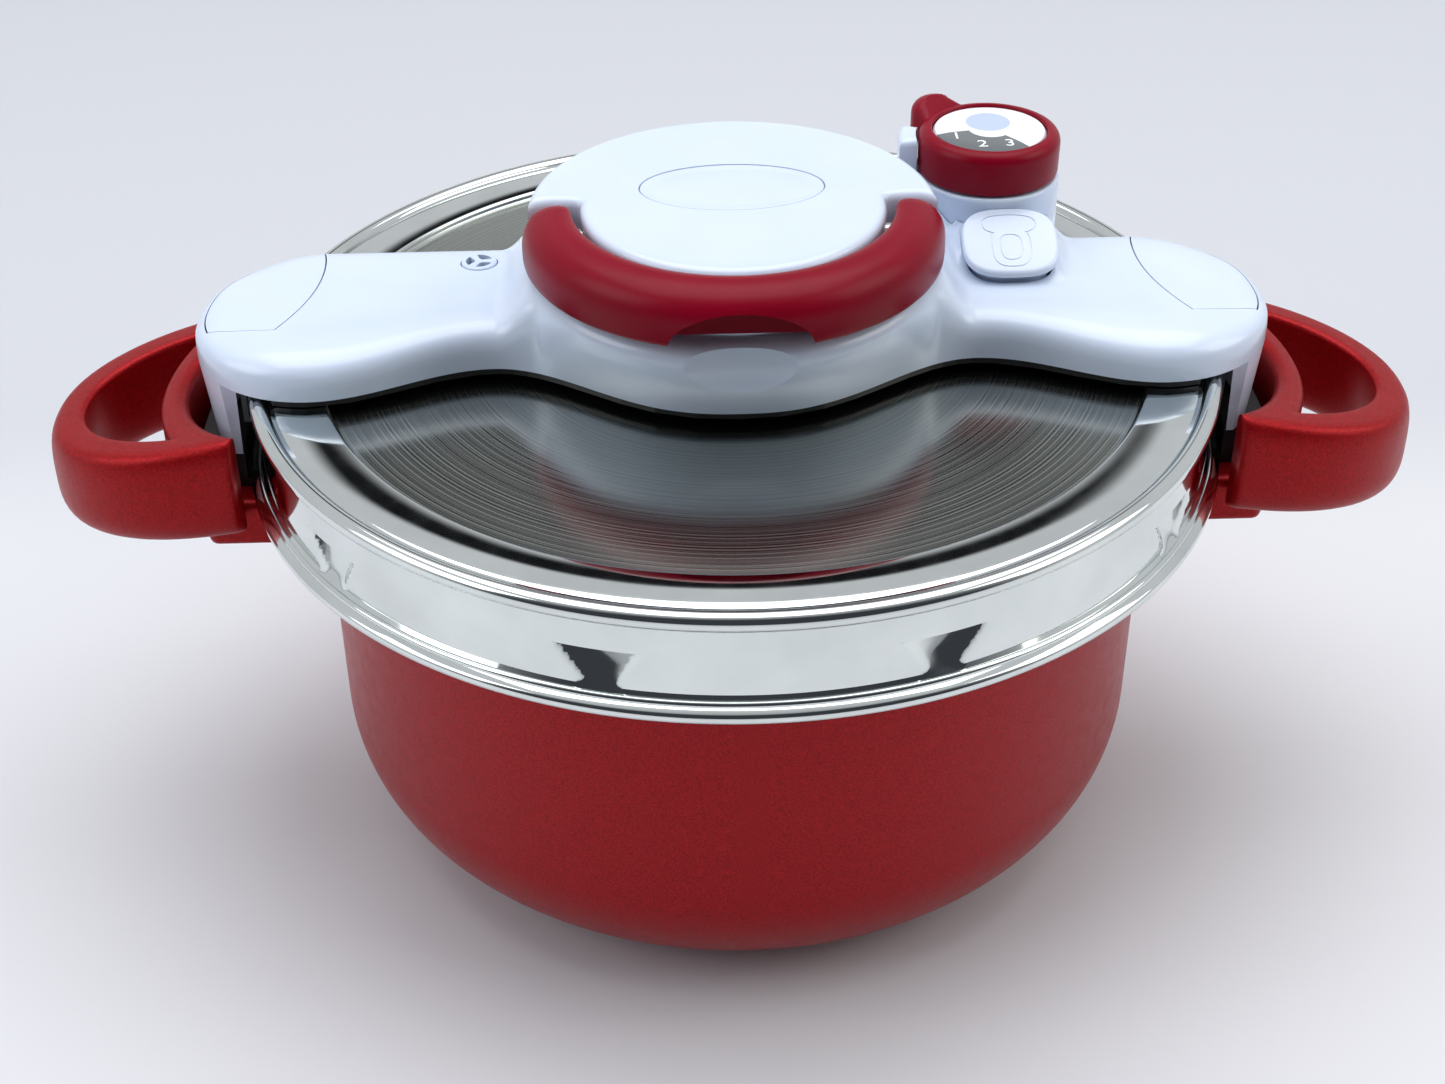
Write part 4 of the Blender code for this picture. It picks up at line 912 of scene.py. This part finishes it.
# %% [markdown]
# ## The steam valve
# A white drum stands on the lid beside the hub and carries a crimson ring, which turns, and the
# ring holds the dial. The ring has an ear behind it on the left to turn it by, next to a white
# post that marks the setting. All of them are turned shapes, with the ear and post joined on.

# %% Collar and index post
TURRET_TOP = knob_low.z - 0.0005
low = turret_low.z
profile = [(0.0078, low), (TURRET_R, low), (TURRET_R, TURRET_TOP - 0.0012)]
profile += arc((TURRET_R - 0.0010, TURRET_TOP - 0.0010), 0.0010, 0, 90, 5) + [(0.0078, TURRET_TOP)]
turret = lathe("valve_collar", profile, centre=VALVE_AT, steps=128)
post_top, SWING_R = turret_high.z, 0.0209
levels = [(COVER_Z - 0.002, 0.0), (post_top - 0.0022, 0.0), (post_top - 0.0012, 0.0003),
          (post_top - 0.0004, 0.0009), (post_top, 0.0020)]
post = stack("index_post", post_outline, levels)
swing = plate("swing_tool", circle(VALVE_AT, SWING_R), TURRET_TOP + 0.00002, post_top + 0.01)
cut(post, swing)
cut(turret, post, 'UNION')
mount(turret, white_plastic, "lid", "white", "valve_turret")

# %% Crimson ring with its ear
KNOB_R, DIAL_R = 0.020, dial_high.x - VALVE.x
knob_foot, knob_top = knob_low.z, knob_low.z + 0.0124
profile = [(0, knob_foot), (KNOB_R - 0.0008, knob_foot), (KNOB_R - 0.0002, knob_foot + 0.0004),
           (KNOB_R, knob_foot + 0.0012), (KNOB_R + 0.0001, knob_top - 0.0042)]
for a in map(radians, range(0, 91, 9)):
    profile.append((KNOB_R - 0.0030 + 0.0031 * cos(a), knob_top - 0.0034 + 0.0034 * sin(a)))
profile += [(DIAL_R + 0.0006, knob_top), (DIAL_R + GAP, knob_top - 0.0004),
            (DIAL_R + GAP, dial_low.z - GAP), (0, dial_low.z - GAP)]
ring = lathe("valve_ring", profile, centre=VALVE_AT, steps=128)


def ear_outline(inset):
    """A broad tongue: round at its end, with straight sides that meet the ring."""
    bearing = 132
    far = Vector(VALVE_AT) + (KNOB_R + 0.0002) * heading(bearing)
    points = arc(far, 0.0072 - inset, bearing - 84, bearing + 84, 24)
    return points + arc(VALVE_AT, DIAL_R + 0.0004, bearing + 34, bearing - 34, 16)


levels = [(knob_foot + 0.0040, 0.0006), (knob_foot + 0.0046, 0.0), (knob_top - 0.0016, 0.0)]
ear = stack("ear", ear_outline, levels + rounding(knob_top - 0.0016, 0.0042, range(12, 91, 13)))
# the ear's top sinks to the ring's where the two meet
for vert in ear.data.vertices:
    out = hypot(vert.co.x - VALVE.x, vert.co.y - VALVE.y) - DIAL_R
    if vert.co.z > knob_top - 0.0040:
        vert.co.z -= (vert.co.z - knob_top + 0.0040) * max(0.0, 1 - out / 0.0062) * 0.75
cut(ring, close_up(ear), 'UNION')
mount(ring, crimson_plastic, "valve", "crimson", "valve_knob")

# %% [markdown]
# The dial is a printed disc: white, with a grey scale round its front left side and a pale blue
# spot. The print is painted by the material, from the place on the disc. The scale carries three
# plain numbers in place of a maker's symbols, made as thin raised pieces of type.

# %% The dial's print
dial_print, tree, shader, place = new_finish("printed_dial_abs", Roughness=0.26, Coat_Weight=0.4,
                                             Coat_Roughness=0.06)


def measured_from(x, y):
    """Object coordinates, counted from a place on the dial."""
    moved = add_node(tree, "Mapping", values={"Location": (-x, -y, 0)}, links={"Vector": place})
    return moved.outputs["Vector"]


def band(value, low, high, soft):
    """1 between two limits, 0 outside, with a soft edge."""
    rise = fade(tree, value, low - soft, low + soft)
    return times(tree, rise, fade(tree, value, high + soft, high - soft))


moved = measured_from(VALVE.x, VALVE.y)
split = add_node(tree, "SeparateXYZ", links={"Vector": moved}).outputs
angle = add_node(tree, "Math", {"operation": 'ARCTAN2'}, links={0: split["Y"], 1: split["X"]}).outputs[0]
sector = band(angle, radians(191 - 360), radians(307 - 360), 0.006)
scale = times(tree, sector, band(radius_of(tree, moved), 0.0062, 0.0157, 0.00005))
spot = band(radius_of(tree, measured_from(VALVE.x, VALVE.y + 0.0044)), -1.0, 0.0063, 0.00008)
first = add_node(tree, "Mix", RGBA, {6: hex_colour("EEF2F8"), 7: hex_colour("6A6F72")}, {0: scale})
second = add_node(tree, "Mix", RGBA, {7: hex_colour("B9C8E2")}, {0: spot, 6: first.outputs[2]})
tree.links.new(second.outputs[2], shader.inputs["Base Color"])
DIAL_TOP = knob_top - 0.0003
profile = [(0, dial_low.z), (DIAL_R, dial_low.z), (DIAL_R, knob_top - 0.0012),
           (DIAL_R - 0.0005, knob_top - 0.0006), (DIAL_R - 0.004, DIAL_TOP), (0, DIAL_TOP)]
mount(lathe("dial_disc", profile, centre=VALVE_AT, steps=96), dial_print, "valve", "grey", "valve_dial")

# %% Numbers on the scale
type_white = moulded("white_pad_print_ink", "F2F4F6", "F7F8FA", 0.35, 0.0005, 0.000004)
NUMBER_R, NUMBER_SIZE = 0.0112, 0.0062
for digit, bearing in (("1", 206), ("2", 252), ("3", 292)):
    turn = radians(bearing)
    start_clean()
    bpy.ops.object.text_add(location=(VALVE.x + NUMBER_R * cos(turn), VALVE.y + NUMBER_R * sin(turn),
                                      knob_top - 0.00035))
    number = bpy.context.object
    number.name = "dial_number_" + digit
    number.data.body = digit
    number.data.size, number.data.extrude = NUMBER_SIZE, 0.0001
    number.data.align_x = number.data.align_y = 'CENTER'
    bpy.ops.object.convert(target='MESH')
    bpy.ops.object.transform_apply(location=True, rotation=True, scale=True)
    mount(number, type_white, "valve", "grey")

# %% [markdown]
# ## The release pad
# Pressing this pad lets the bail go. It is a rounded slab on a narrower neck, tipped towards the
# front, with a keyhole-shaped contour engraved in its top. It is built level, and every vertex
# is then raised in step with its distance back, which tips it and keeps its plan.

# %% Slab, neck and engraved contour
pad_top, NECK_INSET = BEAM_TOP + PAD_RISE, 0.0026
levels = [(0.0110, NECK_INSET), (0.0024, NECK_INSET), (0.0020, 0.0024), (0.0018, 0.0003), (0.0016, 0.0),
          (0.0007, 0.0), (0.0004, 0.00015), (0.0001, 0.0005), (0.0, 0.0011)]
release = stack("release_pad", pad_outline, [(pad_top - down, inset) for down, inset in levels])


def keyhole(name, shrink):
    """The engraved contour: a tall body with a wider head behind it."""
    body = plate(name, oval((PAD_X, PAD_Y - 0.0022), 0.0056 - shrink, 0.0066 - shrink, 64, 3.0),
                 pad_top - 0.00022, pad_top + 0.003)
    head = plate(name + "_head", oval((PAD_X, PAD_Y + 0.0050), 0.0076 - shrink, 0.0032 - shrink, 64, 2.6),
                 pad_top - 0.00022, pad_top + 0.003)
    return cut(body, head, 'UNION')


groove = cut(keyhole("groove_tool", 0.0), keyhole("groove_core", 0.0004))
inner_groove = plate("inner_groove", oval((PAD_X, PAD_Y - 0.0024), 0.0032, 0.0042, 64, 3.0),
                     pad_top - 0.0002, pad_top + 0.003)
cut(inner_groove, plate("inner_core", oval((PAD_X, PAD_Y - 0.0024), 0.0028, 0.0038, 64, 3.0),
                        pad_top - 0.002, pad_top + 0.004))
cut(release, join([groove, inner_groove]))
for vert in release.data.vertices:
    if vert.co.z > pad_top - 0.0100:
        vert.co.z += PAD_SLOPE * (vert.co.y - PAD_Y)
mount(close_up(release), white_plastic, "button", "white", "release_button", smooth=30)

# %% [markdown]
# ## The side handles
# Each handle is a thick D of moulded plastic. Seen from above it is half an oval, with a
# hole for the fingers and a seat that curves round the bridge's leg. It is built level: its
# outline is lofted from the bottom up, going out and in again so that the outer face bulges, and
# two flared tools cut the hole and the seat. Then every point is lowered in step with its distance
# from the pot, which gives the droop.

# %% Plan of the handle, its hole and its seat
HANDLE_MID, HANDLE_REACH, HANDLE_HALF = BEAM_END - 0.0075, 0.0445, 0.0408
HANDLE_LOW, HANDLE_TALL = POT_TOP - 0.0275, 0.0305
ROOT = LOW_BEAD_R + 0.0068


def handle_outline(inset):
    """The D: half an oval, and two rounded corners beside the pot."""
    reach = BEAM_END + HANDLE_REACH - HANDLE_MID - inset
    half = HANDLE_HALF - inset
    curve = [superellipse(reach, half, 2.2, radians(-90 + 180 * k / 72)) for k in range(73)]
    points = [(HANDLE_MID + x, y) for x, y in curve]
    round_off = 0.0026
    corner = (sqrt(ROOT ** 2 - HANDLE_HALF ** 2) + round_off, half - round_off)
    top = arc(corner, round_off, 92, 180, 10)
    return points + top + [(x, -y) for x, y in reversed(top)]


def hole_outline(grow):
    """Half an oval, closed by an arc that runs round the seat."""
    far, half, near_r = 0.0415 + grow, 0.0300 + grow, 0.0655 - grow
    near_x = BEAM_END + 0.0118 - 0.0655
    low, high = 0.3, pi / 2
    for _ in range(40):
        t = (low + high) / 2
        x, y = superellipse(far, half, 2.15, t)
        inside = hypot(HANDLE_MID + x - near_x, y) > near_r
        low, high = (t, high) if inside else (low, t)
    points = [superellipse(far, half, 2.15, t * (k / 30 - 1)) for k in range(61)]
    points = [(HANDLE_MID + x, y) for x, y in points]
    meet = degrees(atan2(points[-1][1], points[-1][0] - near_x))
    return points + arc((near_x, 0), near_r, meet, -meet, 36)[1:-1]


def seat_outline(grow):
    return oval((BEAM_END - 0.030, 0), 0.0345 + grow, 0.0385 + grow, 120)


# %% Loft a handle, cut it, droop it, add its foot, and drill the screw hole
def handle_foot(side, near, far, half):
    points = []
    for k in range(17):
        y = -half + 2 * half * k / 16
        points.append((side * sqrt(near ** 2 - y ** 2), y))
    far_side = [half * (1 - k / 8) for k in range(17)]
    return points + [(side * sqrt(far ** 2 - y ** 2), y) for y in far_side]


def bulge(count=26):
    """Levels of the outer face: a firm edge at the top and a softer, deeper one below."""
    made = []
    for k in range(count + 1):
        turn = pi * (k / count - 0.5)
        depth, power, tall = (0.0078, 2.5, 0.42) if turn < 0 else (0.0052, 3.6, 0.58)
        u, w = superellipse(depth, 1.0, power, turn)
        made.append((HANDLE_LOW + HANDLE_TALL * (0.42 + tall * w), depth - u))
    return made


def flared(top_round, low_round, low_tall):
    """Levels of a tool that cuts right through and rounds both rims."""
    top = HANDLE_LOW + HANDLE_TALL
    steps = [radians(a) for a in range(0, 91, 15)]
    made = [(HANDLE_LOW - 0.004, low_round)]
    made += [(HANDLE_LOW + low_tall * (1 - cos(a)), low_round * (1 - sin(a))) for a in steps]
    made += rounding(top - top_round, top_round, range(0, 91, 15))
    return made + [(top + 0.004, top_round + 0.0005)]


for label, side in (("left", -1), ("right", 1)):
    handle = stack("side_handle_grip_" + label, handle_outline, bulge())
    cut(handle, stack("seat_tool", seat_outline, flared(0.0036, 0.002, 0.002)))
    cut(handle, stack("hole_tool", hole_outline, flared(0.0020, 0.0045, 0.0160)))
    for vert in handle.data.vertices:
        drop = max(0.0, min(1.0, (vert.co.x - LOW_BEAD_R) / (BEAM_END + HANDLE_REACH - LOW_BEAD_R)))
        part = (vert.co.z - HANDLE_LOW) / HANDLE_TALL
        vert.co.z -= drop * (0.0080 + 0.0040 * part)
        vert.co.x *= side
    close_up(handle)
    shoe_low, shoe_top = POT_TOP - 0.0370, POT_TOP - 0.0265
    shoe = handle_foot(side, POT_R + 0.008, BEAM_END + 0.0020, 0.029)
    foot = plate("foot_tool", shoe, shoe_low, shoe_top + 0.004)
    soften(foot, 0.0025, 4, 60)
    cut(handle, foot, 'UNION')
    screw = circle((side * (POT_R + 0.017), 0), 0.0026, 32)
    cut(handle, plate("screw_tool", screw, shoe_low - 0.005, shoe_top - 0.002))
    mount(handle, handle_paint, "pot", "handle_red", "side_handle_" + label, smooth=32)

# %% [markdown]
# ## Camera, light and floor
# The camera looks down on the front, a little from the left, through a moderately long lens. The
# light is that of a white room: a wide ceiling light, softer side lights, and a pale world.

# %% Camera
def look_from(place, yaw, pitch, roll, lens):
    forward = Vector((sin(yaw) * cos(pitch), cos(yaw) * cos(pitch), -sin(pitch)))
    right = Vector((cos(yaw), -sin(yaw), 0))
    up = right.cross(forward)
    turned_right = cos(roll) * right + sin(roll) * up
    turned_up = -sin(roll) * right + cos(roll) * up
    start_clean()
    bpy.ops.object.camera_add(location=place)
    camera = bpy.context.object
    turn = Matrix((turned_right, turned_up, -forward)).transposed()
    camera.matrix_world = Matrix.Translation(place) @ turn.to_4x4()
    camera.data.sensor_width = 36
    camera.data.lens = lens
    camera.data.clip_start, camera.data.clip_end = 0.01, 100
    bpy.context.scene.camera = camera
    return camera


camera = look_from(Vector((-0.0183, -0.5149, 0.4311)), 0.0284, 0.602, -0.009, 52.52)
print("camera %.0f mm lens, %.2f m from the pot" % (camera.data.lens, camera.location.length))

# %% Floor
start_clean()
bpy.ops.mesh.primitive_plane_add(size=8, location=(0, 0, 0))
ground = bpy.context.object
ground.name = "floor"
made, tree, shader, place = new_finish("white_studio_floor", Roughness=0.55, Specular_IOR_Level=0.3)
# painted shade: the floor is painted a little darker behind the pot
split = add_node(tree, "SeparateXYZ", links={"Vector": place}).outputs
behind = fade(tree, split["Y"], 0.10, 0.22, 'SMOOTHSTEP')
tone = add_node(tree, "Mix", RGBA, {6: hex_colour("DCDDE0"), 7: hex_colour("C9CBD0")}, {0: behind})
tree.links.new(tone.outputs[2], shader.inputs["Base Color"])
ground.data.materials.append(made)

# %% Lights
def soft_light(name, place, aim, size, power, colour):
    start_clean()
    bpy.ops.object.light_add(type='AREA', location=place)
    lamp = bpy.context.object
    lamp.name = name
    lamp.data.shape = 'RECTANGLE'
    lamp.data.size, lamp.data.size_y = size
    lamp.data.energy = power
    lamp.data.color = hex_colour(colour)[:3]
    lamp.rotation_euler = (Vector(aim) - Vector(place)).to_track_quat('-Z', 'Y').to_euler()


soft_light("ceiling_light", (0.0, 0.3, 1.9), (0, 0, 0.1), (2.2, 1.6), 29, "FAFBFF")
soft_light("left_light", (-1.6, -0.5, 1.1), (0, 0, 0.12), (1.2, 1.0), 9, "F6F9FF")
soft_light("right_light", (1.6, -0.3, 1.2), (0, 0, 0.12), (1.2, 1.0), 9, "FFFDF8")

# %% The room around, and its view
world = bpy.data.worlds.new("white_room")
bpy.context.scene.world = world
world.use_nodes = True
tree = world.node_tree
background = tree.nodes["Background"]
# the room is pale, but it's dim behind the viewer, which gives the steel its dark reflections
look = add_node(tree, "TexCoord").outputs["Generated"]
towards = add_node(tree, "SeparateXYZ", links={"Vector": look}).outputs
pale = fade(tree, towards["Y"], -0.70, -0.20, 'SMOOTHSTEP')
room = add_node(tree, "Mix", RGBA, {6: hex_colour("45484E"), 7: hex_colour("E8EAEE")}, {0: pale})
# a dark shelf high on the far wall shows as a dark patch in the dish
aside = add_node(tree, "Math", {"operation": 'ABSOLUTE'}, links={0: towards["X"]}).outputs["Value"]
shelf = fade(tree, towards["Y"], 0.2, 0.5, 'SMOOTHSTEP')
for value, start, end in ((towards["Z"], 0.44, 0.51), (towards["Z"], 0.62, 0.57), (aside, 0.30, 0.16)):
    shelf = times(tree, shelf, fade(tree, value, start, end, 'SMOOTHSTEP'))
shaded = add_node(tree, "Mix", RGBA, {7: hex_colour("1C1D20")}, {0: shelf, 6: room.outputs[2]})
tree.links.new(shaded.outputs[2], background.inputs["Color"])
background.inputs["Strength"].default_value = 0.80
# plain sRGB without a film curve keeps the reds saturated
bpy.context.scene.view_settings.view_transform = 'Standard'
